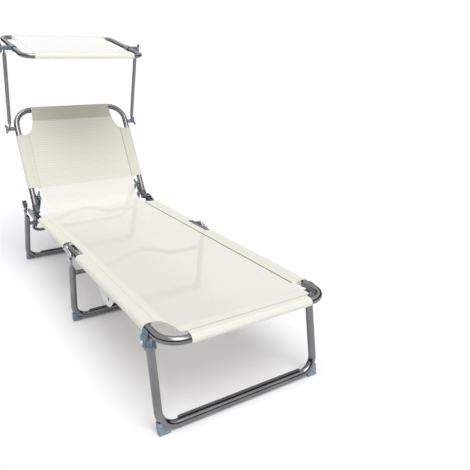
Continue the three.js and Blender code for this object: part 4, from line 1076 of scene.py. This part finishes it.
def make_backrest_tubes():
    line = u_line(BACK_TRACK, 0, BACK_LENGTH, "Y", -RECLINE_RISE)
    tube_piece("back_tube", open_tube(line, TUBE, BACK_BEND), BACK, "back_frame")
    mesh = tube_mesh(u_line(BOW_TRACK, -BOW_TIP, BOW_LENGTH, "Y"), BOW, BOW_BEND, PRESSED_STEP)
    for side in (-1, 1):
        end, shift = Vector((side * BOW_TRACK, -BOW_TIP, 0)), side * (BOW_PLATE_X - BOW_TRACK)
        press_end(
            mesh, end, Vector((0, 1, 0)), shift,
            BOW, BOW_PRESSED_HALF, BOW_TIP, BOW_FLAT, BOW_TAPER, BOW_TIP,
        )
    tube_piece("bow_tube", mesh, BOW_FRAME, "bow_frame")


def make_shade_tubes():
    for side, sign in SIDES.items():
        x = sign * ARM_X
        ends = [Vector((x, -ARM_TIP, 0)), Vector((x, ARM_LENGTH + ARM_TIP, 0))]
        mesh = tube_mesh(ends, ARM, 0, PRESSED_STEP)
        for end, along in zip(ends, (1, -1)):
            press_end(
                mesh, end, Vector((0, along, 0)), 0,
                ARM, ARM_PRESSED_HALF, ARM_TIP, ARM_FLAT, ARM_TAPER, ARM_TIP,
            )
        tube_piece("arm_tube_" + side, mesh, ARMS, "shade_arm_" + side)
    for name, start, end in (("front", -HOOP_GAP, -HOOP_FRONT), ("rear", HOOP_GAP, HOOP_REAR)):
        mesh = open_tube(u_line(HOOP_TRACK, start, end, "Y"), HOOP, HOOP_BEND)
        tube_piece(name + "_hoop_tube", mesh, SHADE, "shade_hoop_" + name)


# Cloth

def sleeve_section(middle, drop, back):
    """A sleeve from the top of its tube outwards, round it, and back under the sheet to its seam."""
    points = [(-middle - CLOTH / 2, middle)]
    start = math.pi / 2
    for i in range(SLEEVE_STEPS + 1):
        turn = start - SLEEVE_SWEEP * i / SLEEVE_STEPS
        points.append((middle * math.cos(turn), middle * math.sin(turn)))
    level = middle - drop
    points += [(-middle - CLOTH, level - CLOTH), (-(middle + back) / 2, level), (-back, level)]
    return points


def running(points):
    total, lengths = 0.0, [0.0]
    for a, b in zip(points, points[1:]):
        total += math.hypot(b[0] - a[0], b[1] - a[1])
        lengths.append(total)
    return lengths


def add_grid(work, layer, rows, zone):
    """Quads between rows of (point, uv), each with the finish of its zone."""
    verts = [[work.verts.new(point) for point, _ in row] for row in rows]
    for r in range(len(rows) - 1):
        for c in range(len(rows[r]) - 1):
            corners = [(r, c), (r, c + 1), (r + 1, c + 1), (r + 1, c)]
            face = work.faces.new([verts[i][j] for i, j in corners])
            places = [rows[i][j][1] for i, j in corners]
            middle = [sum(values) / len(places) for values in zip(*places)]
            face.material_index = zone(*middle)
            for loop, (u, v) in zip(face.loops, places):
                loop[layer].uv = (u * MILLI, v * MILLI)


def curve_points(start, end, bulge, steps):
    points = []
    for i in range(steps + 1):
        t = i / steps
        x = (1 - t) ** 2 * start[0] + 2 * t * (1 - t) * bulge[0] + t * t * end[0]
        y = (1 - t) ** 2 * start[1] + 2 * t * (1 - t) * bulge[1] + t * t * end[1]
        points.append((x, y))
    return points


def between(first, last, steps):
    """Even stations from one (half width, along) to another."""
    return [tuple(a + (b - a) * i / steps for a, b in zip(first, last)) for i in range(steps + 1)]


def run_points(half, start, end):
    return between((half, start), (half, end), max(1, round((end - start) / PANEL_STEP)))


def marked(stations, marks):
    """The stations with one more at each mark, on the line between its neighbours."""
    result = list(stations)
    for mark in marks:
        for i, (a, b) in enumerate(zip(result, result[1:])):
            if a[1] + WELD < mark < b[1] - WELD:
                share = (mark - a[1]) / (b[1] - a[1])
                result.insert(i + 1, (a[0] + (b[0] - a[0]) * share, mark))
                break
    return result


def both_sides(places, width):
    return [place + side * width for place in places for side in (-1, 1)]


def columns(half, track, hem):
    """Places across a sheet: even steps, then the hem's edge and the seam beside the sleeve."""
    edge, seam, full = track - hem, track - SEAM_IN, track - SLEEVE_OUTER
    right = [(edge - LINE_HALF) * i / PANEL_COLUMNS for i in range(PANEL_COLUMNS + 1)]
    right += [edge + LINE_HALF, seam - SEAM_HALF, seam + SEAM_HALF]
    share = 1 if half > seam + 2 * SEAM_HALF else half / full
    right = [x * share for x in right] + [half]
    return [-x for x in right[:0:-1]] + right


def panel_rows(stations, height, track, hem, offset=0.0):
    """Rows of the sheet across its width at each (half width, along) station."""
    rows = []
    for half, along in stations:
        row = []
        for x in columns(half, track, hem):
            row.append((Vector((x, *height(x, along))), (x, along + offset)))
        rows.append(row)
    return rows


def side_sleeve_rows(section, track, top_z, stations, sign, offset=0.0):
    """Rows of one side sleeve. Its columns run away from the middle of the sheet."""
    lengths = running(section)
    start = track + section[0][0]
    rows = []
    for _, along in stations:
        row = []
        for (out, up), length in zip(section, lengths):
            point = Vector((sign * (track + out), along, top_z + up))
            row.append((point, (sign * (start + length), along + offset)))
        rows.append(row if sign > 0 else row[::-1])
    return rows


def end_sleeve_rows(section, places, axis_at, top_z, sign, offset=0.0):
    """Rows of the sleeve round a tube across the sheet, at its low (-1) or high (1) end."""
    lengths = running(section)
    start = axis_at + sign * section[0][0]
    rows = []
    for (out, up), length in zip(section, lengths):
        along = start + sign * length + offset
        rows.append([(Vector((x, axis_at + sign * out, top_z + up)), (x, along)) for x in places])
    return rows if sign > 0 else rows[::-1]


def cloth_mesh(name, patches, zone):
    """Thick cloth out of patches, with its flat size."""
    mesh = bpy.data.meshes.new(name)
    for finish_of_zone in CLOTH_FINISHES:
        mesh.materials.append(finish_of_zone)

    def change(work):
        layer = work.loops.layers.uv.new("cloth")
        for rows in patches:
            add_grid(work, layer, rows, zone)
        bmesh.ops.remove_doubles(work, verts=work.verts, dist=WELD)
    edited(mesh, change)
    obj = added(name, mesh)
    wall = obj.modifiers.new("wall", "SOLIDIFY")
    wall.thickness = CLOTH
    wall.offset = 0
    places = [uv for rows in patches for row in rows for _, uv in row]
    flat = tuple((max(values) - min(values)) * MILLI for values in zip(*places))
    area = min(sum(p.area for p in mesh.polygons) * MILLI * MILLI, flat[0] * flat[1])
    return evaluated(obj), flat, area


def raised(distance, hem, start, end, along):
    """1 on a hem's fold beside a tube, 0 inside it, and nothing past the sleeve's ends."""
    fold = eased((hem + LINE_HALF - distance) / (2 * LINE_HALF))
    return fold * eased((along - start) / HEM_FADE + 1) * eased((end - along) / HEM_FADE + 1)


def sag(share, depth):
    return depth * max(0, 1 - share * share)


def bed_height(x, along):
    """Places of the bed's sheet. Past the start of the bend, along is measured on its arc."""
    hem = raised(RAIL_TRACK - abs(x), BED_HEM, FOOT_SLEEVE_START, SEAT_SLEEVE_END, along)
    front = eased((FRONT_HEM + LINE_HALF - along) / (2 * LINE_HALF))
    start = eased((along - FRONT_HEM) / FOOT_SLEEVE_START)
    end = eased((BEND_START - along) / FOOT_SLEEVE_START)
    down = HEM_RISE * (1 - max(hem, front)) + sag(x / (RAIL_TRACK - BED_HEM), BED_SAG) * start * end
    if along < BEND_START:
        return along, RAIL_Z + SLEEVE - down
    turn = (along - BEND_START) / BEND_RADIUS
    reach = BEND_RADIUS + down
    return BEND_START + reach * math.sin(turn), RAIL_Z + SLEEVE + BEND_RADIUS - reach * math.cos(turn)


def back_height(x, along):
    """Places of the backrest's sheet. Before the end of the bend, along is measured on its arc."""
    hem = raised(BACK_TRACK - abs(x), BACK_HEM, BACK_SLEEVE_START, BACK_SLEEVE_END, along)
    header = eased((along - BACK_LENGTH + FRONT_HEM) / FRONT_HEM)
    start = eased((along - BEND_END) / BACK_SLEEVE_START)
    end = eased((BACK_LENGTH - FRONT_HEM - along) / BACK_SLEEVE_START)
    down = HEM_RISE * (1 - max(hem, header)) + sag(x / (BACK_TRACK - BACK_HEM), BACK_SAG) * start * end
    level = SLEEVE - RECLINE_RISE
    if along > BEND_END:
        return along, level - down
    turn = (BEND_END - along) / BEND_RADIUS
    reach = BEND_RADIUS + down
    return BEND_END - reach * math.sin(turn), level + BEND_RADIUS - reach * math.cos(turn)


def shade_height(x, along):
    level = HOOP + CLOTH_GAP + CLOTH / 2
    middle, half = (HOOP_REAR - HOOP_FRONT) / 2, (HOOP_REAR + HOOP_FRONT) / 2 - HOOP
    return along, level - sag((along - middle) / half, SHADE_SAG)


def near(value, place, half):
    return abs(value - place) < half


# Bed zones: the dark lines are painted shadow along the hem edges and the front seam, the soft lines are
# seams with painted shade.
def bed_zone(u, v):
    side = RAIL_TRACK - abs(u)
    if near(side, BED_HEM, LINE_HALF) and FOOT_SLEEVE_START < v < SEAT_SLEEVE_END:
        return PAINTED_HEM_SHADOW_LINE
    if near(v, SEAM_FRONT, SEAM_HALF):
        return PAINTED_HEM_SHADOW_LINE
    if near(side, SEAM_IN, SEAM_HALF) or near(v, FRONT_HEM, LINE_HALF):
        return SEAM_AND_PAINTED_SHADE_LINE
    return DOUBLED if side < BED_HEM or v < FRONT_HEM else PLAIN


# Backrest zones: the header, lined and folded finishes carry painted shade on the upper and sleeved parts of
# the sheet.
def back_zone(u, v):
    side, along = BACK_TRACK - abs(u), v - BACK_OFFSET
    if near(along, BACK_SLEEVE_START, SEAM_HALF) or near(along, BACK_SLEEVE_END, SEAM_HALF):
        return SEAM_AND_PAINTED_SHADE_LINE
    if along > BACK_LENGTH - HEADER_HEM:
        return PAINTED_SHADE_HEADER
    if along < BACK_SLEEVE_START:
        return PLAIN
    if along > BACK_SLEEVE_END:
        return PAINTED_SHADE_LINED
    if near(side, BACK_HEM, LINE_HALF):
        return PAINTED_HEM_SHADOW_LINE
    if near(side, SEAM_IN, SEAM_HALF):
        return SEAM_AND_PAINTED_SHADE_LINE
    return PAINTED_SHADE_FOLDED if side < BACK_HEM else PAINTED_SHADE_LINED


def shade_zone(u, v):
    if near(v, SEAM_FRONT - HOOP_FRONT, SEAM_HALF) or near(v, HOOP_REAR - SEAM_FRONT, SEAM_HALF):
        return SEAM_AND_PAINTED_SHADE_LINE
    return SHADE_DOUBLED if v < BED_HEM - HOOP_FRONT or v > HOOP_REAR - BED_HEM else SHADE_PLAIN


def seam_line(x, run, height):
    first, last = run[0][1], run[-1][1]
    stations = between((x, first), (x, last), round((last - first) / PANEL_STEP))
    return [Vector((x, *height(x, along))) + Vector((0, 0, CLOTH / 2)) for x, along in stations]


def side_seams(track, insets, runs, height):
    """Seams beside both edges of a sheet, at each inset from the tubes and along each run."""
    return [
        seam_line(sign * (track - inset), run, height)
        for inset in insets for sign in (-1, 1) for run in runs
    ]


def seam_across(half, along, height):
    stations = between((-half, along), (half, along), 2 * PANEL_COLUMNS)
    return [Vector((x, *height(x, along))) + Vector((0, 0, CLOTH / 2)) for x, along in stations]


def stitching(name, seams, place, body):
    mesh = grown(
        stitches, seams,
        Pitch=STITCH_PITCH, Length=STITCH_LENGTH, Thread_radius=STITCH_RADIUS, Material=seam_thread,
    )
    return piece(name, mesh, place, "fabric", [], body, seam_thread)


def make_bed_cloth():
    inner = RAIL_TRACK - SLEEVE_OUTER
    flare_end, sleeve_start = (FLARE_HALF, FLARE_END_Y), (inner, FOOT_SLEEVE_START)
    front = [(FRONT_SLEEVE_HALF, SLEEVE_OUTER), (FLARE_HALF, FLARE_Y)]
    front += curve_points(flare_end, sleeve_start, (FLARE_HALF, FOOT_SLEEVE_START), CORNER_STEPS)
    front = marked(front, both_sides([SEAM_FRONT], SEAM_HALF) + both_sides([FRONT_HEM], LINE_HALF))
    foot = run_points(inner, FOOT_SLEEVE_START, FOOT_SLEEVE_END)
    fold = []
    for start, end in (
        (FOOT_SLEEVE_END + FOLD_CUT_TAPER, FOOT_LENGTH - FOLD_CUT_TAPER),
        (FOOT_LENGTH - FOLD_CUT_TAPER / 2, FOOT_LENGTH + FOLD_CUT_TAPER),
        (FOOT_LENGTH + 2 * FOLD_CUT_TAPER, SEAT_SLEEVE_START - FOLD_CUT_TAPER),
    ):
        fold += run_points(FOLD_CUT_HALF, start, end)
    seat = run_points(inner, SEAT_SLEEVE_START, SEAT_SLEEVE_END)
    sleeve_end, cut_end = (inner, SEAT_SLEEVE_END), (RECLINE_CUT_HALF, BED_END)
    cut = curve_points(sleeve_end, cut_end, (RECLINE_CUT_HALF, SEAT_SLEEVE_END), CORNER_STEPS)
    section = sleeve_section(SLEEVE, HEM_DROP, SEAM_IN)
    patches = [panel_rows(front[:-1] + foot + fold + seat + cut[1:], bed_height, RAIL_TRACK, BED_HEM)]
    places = columns(FRONT_SLEEVE_HALF, RAIL_TRACK, BED_HEM)
    patches.append(end_sleeve_rows(section, places, 0, RAIL_Z, -1))
    for run in (foot, seat):
        for sign in (-1, 1):
            patches.append(side_sleeve_rows(section, RAIL_TRACK, RAIL_Z, run, sign))
    mesh, flat, area = cloth_mesh("bed_cloth", patches, bed_zone)
    obj = piece("bed_cloth", mesh, BED, "fabric", ["foot_fabric", "seat_fabric"], body="")
    seams = side_seams(RAIL_TRACK, (SEAM_IN, BED_HEM - SEAM_GAP), (foot, seat), bed_height)
    for row in (SEAM_FRONT, FRONT_HEM - SEAM_GAP):
        seams.append(seam_across(FRONT_SLEEVE_HALF, row, bed_height))
    thread = stitching("bed_stitching", seams, BED, "")
    for part in (obj, thread):
        start = ROW @ Vector((0, FOOT_LENGTH - 2 * FOLD_CUT_TAPER, RAIL_Z + TUBE))
        end = ROW @ Vector((0, FOOT_LENGTH + 2 * FOLD_CUT_TAPER, RAIL_Z + TUBE))
        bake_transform(part, "foot_section", "seat", start=start, end=end)


def make_recline_cloth():
    """The short length of sheet between the seat and the backrest, which bends when the backrest folds."""
    stations = between((RECLINE_CUT_HALF, BED_END), (RECLINE_HALF, BEND_MEET), BEND_STEPS)
    rows = panel_rows(stations, bed_height, RAIL_TRACK, BED_HEM)
    meeting = Vector((0, *bed_height(0, BEND_MEET)))
    mesh, flat, area = cloth_mesh("recline_cloth", [rows], bed_zone)
    obj = piece("recline_cloth", mesh, BED, "fabric", [], body="")
    start = ROW @ Vector((0, *bed_height(0, BED_END)))
    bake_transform(obj, "seat", "recline_pins", start=start, end=ROW @ meeting)


def make_back_cloth():
    inner = BACK_TRACK - SLEEVE_OUTER
    bend_end, cut_start = (BACK_CUT_HALF, BEND_END), (BACK_CUT_END_HALF, BACK_CUT_ALONG)
    bend = between((RECLINE_HALF, BACK_MEET), bend_end, BEND_STEPS)
    rise = between(bend_end, cut_start, RISE_STEPS)[1:-1]
    corner = (BACK_CUT_END_HALF, BACK_SLEEVE_START)
    cut = curve_points(cut_start, (inner, BACK_SLEEVE_START), corner, CORNER_STEPS)
    run = run_points(inner, BACK_SLEEVE_START, BACK_SLEEVE_END)
    run = marked(run, [BACK_SLEEVE_START + SEAM_HALF, BACK_SLEEVE_END - SEAM_HALF])
    top_end, corner = (HEADER_HALF, BACK_LENGTH - SLEEVE_OUTER), (TOP_CUT_HALF, TOP_CUT_ALONG)
    top = curve_points((inner, BACK_SLEEVE_END), top_end, corner, CORNER_STEPS)
    top = marked(top, [BACK_LENGTH - HEADER_HEM])
    section = sleeve_section(SLEEVE, HEM_DROP, SEAM_IN)
    stations = bend + rise + cut[:-1] + run + top[1:]
    patches = [panel_rows(stations, back_height, BACK_TRACK, BACK_HEM, BACK_OFFSET)]
    places = columns(HEADER_HALF, BACK_TRACK, BACK_HEM)
    patches.append(end_sleeve_rows(section, places, BACK_LENGTH, -RECLINE_RISE, 1, BACK_OFFSET))
    for sign in (-1, 1):
        patches.append(side_sleeve_rows(section, BACK_TRACK, -RECLINE_RISE, run, sign, BACK_OFFSET))
    meeting = Vector((0, *back_height(0, BACK_MEET)))
    mesh, flat, area = cloth_mesh("back_cloth", patches, back_zone)
    obj = piece("back_cloth", mesh, BACK, "fabric", ["back_fabric"], body="")
    seams = side_seams(BACK_TRACK, (SEAM_IN, BACK_HEM - SEAM_GAP), (run,), back_height)
    for row in (SEAM_FRONT, HEADER_HEM):
        seams.append(seam_across(HEADER_HALF, BACK_LENGTH - row, back_height))
    thread = stitching("back_stitching", seams, BACK, "backrest")
    start = ROW @ BACK @ meeting
    end = ROW @ BACK @ Vector((0, *back_height(0, BEND_END)))
    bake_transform(obj, "recline_pins", "backrest", start=start, end=end)


def make_shade_cloth():
    middle = HOOP + CLOTH_GAP + CLOTH / 2
    start = -HOOP_FRONT + middle + CLOTH / 2
    end = HOOP_REAR - middle - CLOTH / 2
    stations = []
    for i in range(SHADE_STEPS + 1):
        share = i / SHADE_STEPS
        stations.append((SHADE_HALF - sag(2 * share - 1, SHADE_WAIST), start + (end - start) * share))
    seam_places = [SEAM_FRONT - HOOP_FRONT, HOOP_REAR - SEAM_FRONT]
    stations = marked(stations, both_sides(seam_places, SEAM_HALF))
    stations = marked(stations, [BED_HEM - HOOP_FRONT, HOOP_REAR - BED_HEM])
    section = sleeve_section(middle, HEM_DROP, SEAM_FRONT)
    patches = [panel_rows(stations, shade_height, HOOP_TRACK, BED_HEM)]
    places = columns(SHADE_HALF, HOOP_TRACK, BED_HEM)
    patches.append(end_sleeve_rows(section, places, -HOOP_FRONT, 0, -1))
    patches.append(end_sleeve_rows(section, places, HOOP_REAR, 0, 1))
    mesh, flat, area = cloth_mesh("shade_cloth", patches, shade_zone)
    obj = piece("shade_cloth", mesh, SHADE, "fabric", ["shade_fabric"])
    seams = []
    for row in (SEAM_FRONT, BED_HEM - SEAM_GAP):
        for along in (row - HOOP_FRONT, HOOP_REAR - row):
            seams.append(seam_across(SHADE_HALF - SHADE_WAIST, along, shade_height))
    thread = stitching("shade_stitching", seams, SHADE, "shade")


def cubic(a, b, c, d, t):
    return (1 - t) ** 3 * a + 3 * t * (1 - t) ** 2 * b + 3 * t * t * (1 - t) * c + t ** 3 * d


def strap_edge():
    """The strap's lower edge from its back end to its front end, as (y, z)."""
    edge = []
    for i in range(STRAP_STEPS + 1):
        t = i / STRAP_STEPS
        y = cubic(STRAP_BACK, STRAP_BACK - STRAP_BELLY, STRAP_LOW_Y + STRAP_BELLY, STRAP_LOW_Y, t)
        z = cubic(STRAP_TOP, RAIL_Z - STRAP_BELLY, STRAP_LOW_Z, STRAP_LOW_Z, t)
        edge.append((y, z))
    bulge = STRAP_FRONT + STRAP_SNAP_DROP / 2, STRAP_LOW_Z
    edge += curve_points((STRAP_LOW_Y, STRAP_LOW_Z), (STRAP_FRONT, STRAP_TOP), bulge, STRAP_STEPS)[1:]
    return edge


def make_strap(snap):
    rows = []
    for y, z in strap_edge()[1:-1]:
        row = []
        belly = math.sin(math.pi * (y - STRAP_FRONT) / (STRAP_BACK - STRAP_FRONT))
        for i in range(STRAP_COLUMNS + 1):
            share = i / STRAP_COLUMNS
            level = STRAP_TOP + (z - STRAP_TOP) * share
            out = STRAP_BOW_OUT * math.sin(math.pi * share / 2) * belly
            row.append((Vector((STRAP_X - out, y, level)), (y, STRAP_TOP - level)))
        rows.append(row)
    mesh, flat, area = cloth_mesh("strap_flap", [rows], lambda u, v: WEBBING)
    piping = tube_mesh([row[-1][0] for row in rows], STRAP_PIPING, 0, STRAP_BOW_OUT)
    flap = piece("strap_flap", mesh, BED, "webbing", ["carry_strap"])
    trim = piece("strap_piping", piping, BED, "webbing", [], "foot_section", CLOTH_FINISHES[WEBBING])


# Turned and moulded parts

def lathe(profile):
    """A closed solid turned about X from (x, radius) points that begin and end on the axis."""
    def change(work):
        rings = []
        for x, radius in profile:
            ring = []
            for i in range(LATHE_SIDES if radius else 1):
                turn = 2 * math.pi * i / LATHE_SIDES
                ring.append(work.verts.new((x, radius * math.cos(turn), radius * math.sin(turn))))
            rings.append(ring)
        for a, b in zip(rings, rings[1:]):
            for i in range(LATHE_SIDES):
                j = (i + 1) % LATHE_SIDES
                corners = [a[i % len(a)], a[j % len(a)], b[j % len(b)], b[i % len(b)]]
                unique = list(dict.fromkeys(corners))
                if len(unique) > 2:
                    work.faces.new(unique)
        bmesh.ops.recalc_face_normals(work, faces=work.faces)
    return edited(bpy.data.meshes.new("turned"), change)


def wing_mesh():
    """Both wings of a knob, as one plate with rounded rims."""
    half, high, base = KNOB_WING_HALF, KNOB_WING_HEIGHT, KNOB_WING_BASE
    outline = []
    for i in range(WING_STEPS + 1):
        t = i / WING_STEPS
        side = cubic(-KNOB_HUB, -half, -half - base, -half + base, t)
        outline.append((side, cubic(base, base, high, high, t)))
    outline += curve_points((-half + base, high), (0, KNOB_HEIGHT), (-base, high), WING_STEPS)[1:]
    outline += [(-y, x) for y, x in outline[::-1][1:-1]]
    outline.append((KNOB_HUB, base))

    def change(work):
        verts = [work.verts.new((x, y, -KNOB_WING_THICK / 2)) for y, x in outline]
        lifted = bmesh.ops.extrude_face_region(work, geom=[work.faces.new(verts)])
        moved = [v for v in lifted["geom"] if isinstance(v, bmesh.types.BMVert)]
        bmesh.ops.translate(work, verts=moved, vec=(0, 0, KNOB_WING_THICK))
        bmesh.ops.recalc_face_normals(work, faces=work.faces)
        rims = [e for e in work.edges if e.is_manifold and e.calc_face_angle(0) > SHARP]
        rounded(work, rims, KNOB_EDGE, EDGE_SEGMENTS)
    return edited(bpy.data.meshes.new("wing"), change)


def knob_mesh(stud):
    """Wing knob on its screw, about X: a hub with a recessed end, and two rounded wings."""
    edge = KNOB_EDGE
    hub = lathe([
        (0, 0), (0, KNOB_HUB - edge), (edge, KNOB_HUB), (KNOB_HEIGHT - 2 * edge, KNOB_HUB),
        (KNOB_HEIGHT - edge, KNOB_HUB - edge / 3), (KNOB_HEIGHT, KNOB_HUB - 2 * edge),
        (KNOB_HEIGHT, KNOB_RECESS), (KNOB_HEIGHT - KNOB_RECESS_DEPTH, KNOB_RECESS - edge / 2),
        (KNOB_HEIGHT - KNOB_RECESS_DEPTH, 0),
    ])
    screw = lathe([(-stud, 0), (-stud, STUD - edge / 2), (-stud + edge, STUD), (edge, STUD), (edge, 0)])
    return merged([hub, screw, wing_mesh()])


def make_knobs():
    bow_seat = BACK_TRACK - TUBE - BOW_KNOB_GAP - 2 * BOW_PRESSED_HALF
    bow_stud = 2 * BOW_PRESSED_HALF + STUD_REACH
    arm_seat = ARM_X + ARM_PRESSED_HALF + KNOB_GAP
    arm_stud = arm_seat - BACK_TRACK - TUBE + STUD_REACH
    shade_stud = 2 * ARM_PRESSED_HALF + CLAMP_STUD_REACH
    for name, seat, along, level, stud, facing, place in (
        ("bow_knob", bow_seat, BOW_ALONG, -RECLINE_RISE, bow_stud, -1, BACK),
        ("arm_knob", arm_seat, ARM_ALONG, -RECLINE_RISE, arm_stud, 1, BACK),
        ("shade_knob", arm_seat, ARM_LENGTH, 0, shade_stud, 1, ARMS),
    ):
        for side, sign in SIDES.items():
            mesh = knob_mesh(stud)
            if facing * sign < 0:
                mesh.transform(Matrix.Rotation(math.pi, 4, "Z"))
            mesh.transform(Matrix.Translation((sign * seat, along, level)))
            piece(name + "_wing_" + side, mesh, place, "blue_grey_plastic", [name + "_" + side])


def refined(node, width):
    """A copy of a CAD node, welded, with its outer edges rounded."""
    mesh = frame["nodes"][node].data.copy()

    def change(work):
        bmesh.ops.remove_doubles(work, verts=work.verts, dist=WELD * MILLI)
        bmesh.ops.dissolve_limit(work, angle_limit=FLAT_ANGLE, verts=work.verts, edges=work.edges)
        rims = [e for e in work.edges if e.is_manifold and e.calc_face_angle_signed(0) > FACET]
        rounded(work, rims, width * MILLI, EDGE_SEGMENTS)
        bmesh.ops.recalc_face_normals(work, faces=work.faces)
    return edited(mesh, change)


FITTINGS = {
    "fold_plate": ("plate", "plated_steel", FINE_EDGE),
    "foot_plate": ("plate", "plated_steel", FINE_EDGE),
    "rear_bracket": ("plate", "dark_steel", FINE_EDGE),
    "recline_pin": ("pin", "plated_steel", SMALL_EDGE),
    "front_leg_clip": ("clip", "blue_grey_plastic", MEDIUM_EDGE),
    "front_leg_pin": ("pin", "plated_steel", SMALL_EDGE),
    "front_leg_socket": ("moulding", "blue_grey_plastic", WIDE_EDGE),
    "front_foot_pad": ("shoe", "blue_grey_plastic", WIDE_EDGE),
    "mid_foot_pad": ("shoe", "blue_grey_plastic", WIDE_EDGE),
    "rear_foot_pad": ("shoe", "blue_grey_plastic", WIDE_EDGE),
    "rear_leg_cap": ("moulding", "dark_plastic", WIDE_EDGE),
    "hinge_socket": ("moulding", "dark_plastic", MEDIUM_EDGE),
    "arm_spacer": ("moulding", "blue_grey_plastic", SMALL_EDGE),
    "ratchet_rack": ("moulding", "dark_plastic", SMALL_EDGE),
    "shade_clamp": ("moulding", "blue_grey_plastic", MEDIUM_EDGE),
}


def make_fittings():
    """The plates, pins and mouldings. Gives back the strap's snap."""
    for node, (kind, slot, width) in FITTINGS.items():
        for side in SIDES:
            name = node + "_" + side
            piece(name + "_" + kind, refined(name, width), ROW.inverted(), slot, [name])
    mesh = refined("strap_snap", FINE_EDGE)
    return piece("strap_snap_button", mesh, ROW.inverted(), "black_plastic", ["strap_snap"])


bpy.context.scene.view_settings.view_transform = "Standard"
set_camera()
set_world()
set_key_light()
set_floor()
set_reflections()
make_bed_tubes()
make_legs()
make_backrest_tubes()
make_shade_tubes()
make_bed_cloth()
make_recline_cloth()
make_back_cloth()
make_shade_cloth()
make_knobs()
make_strap(make_fittings())
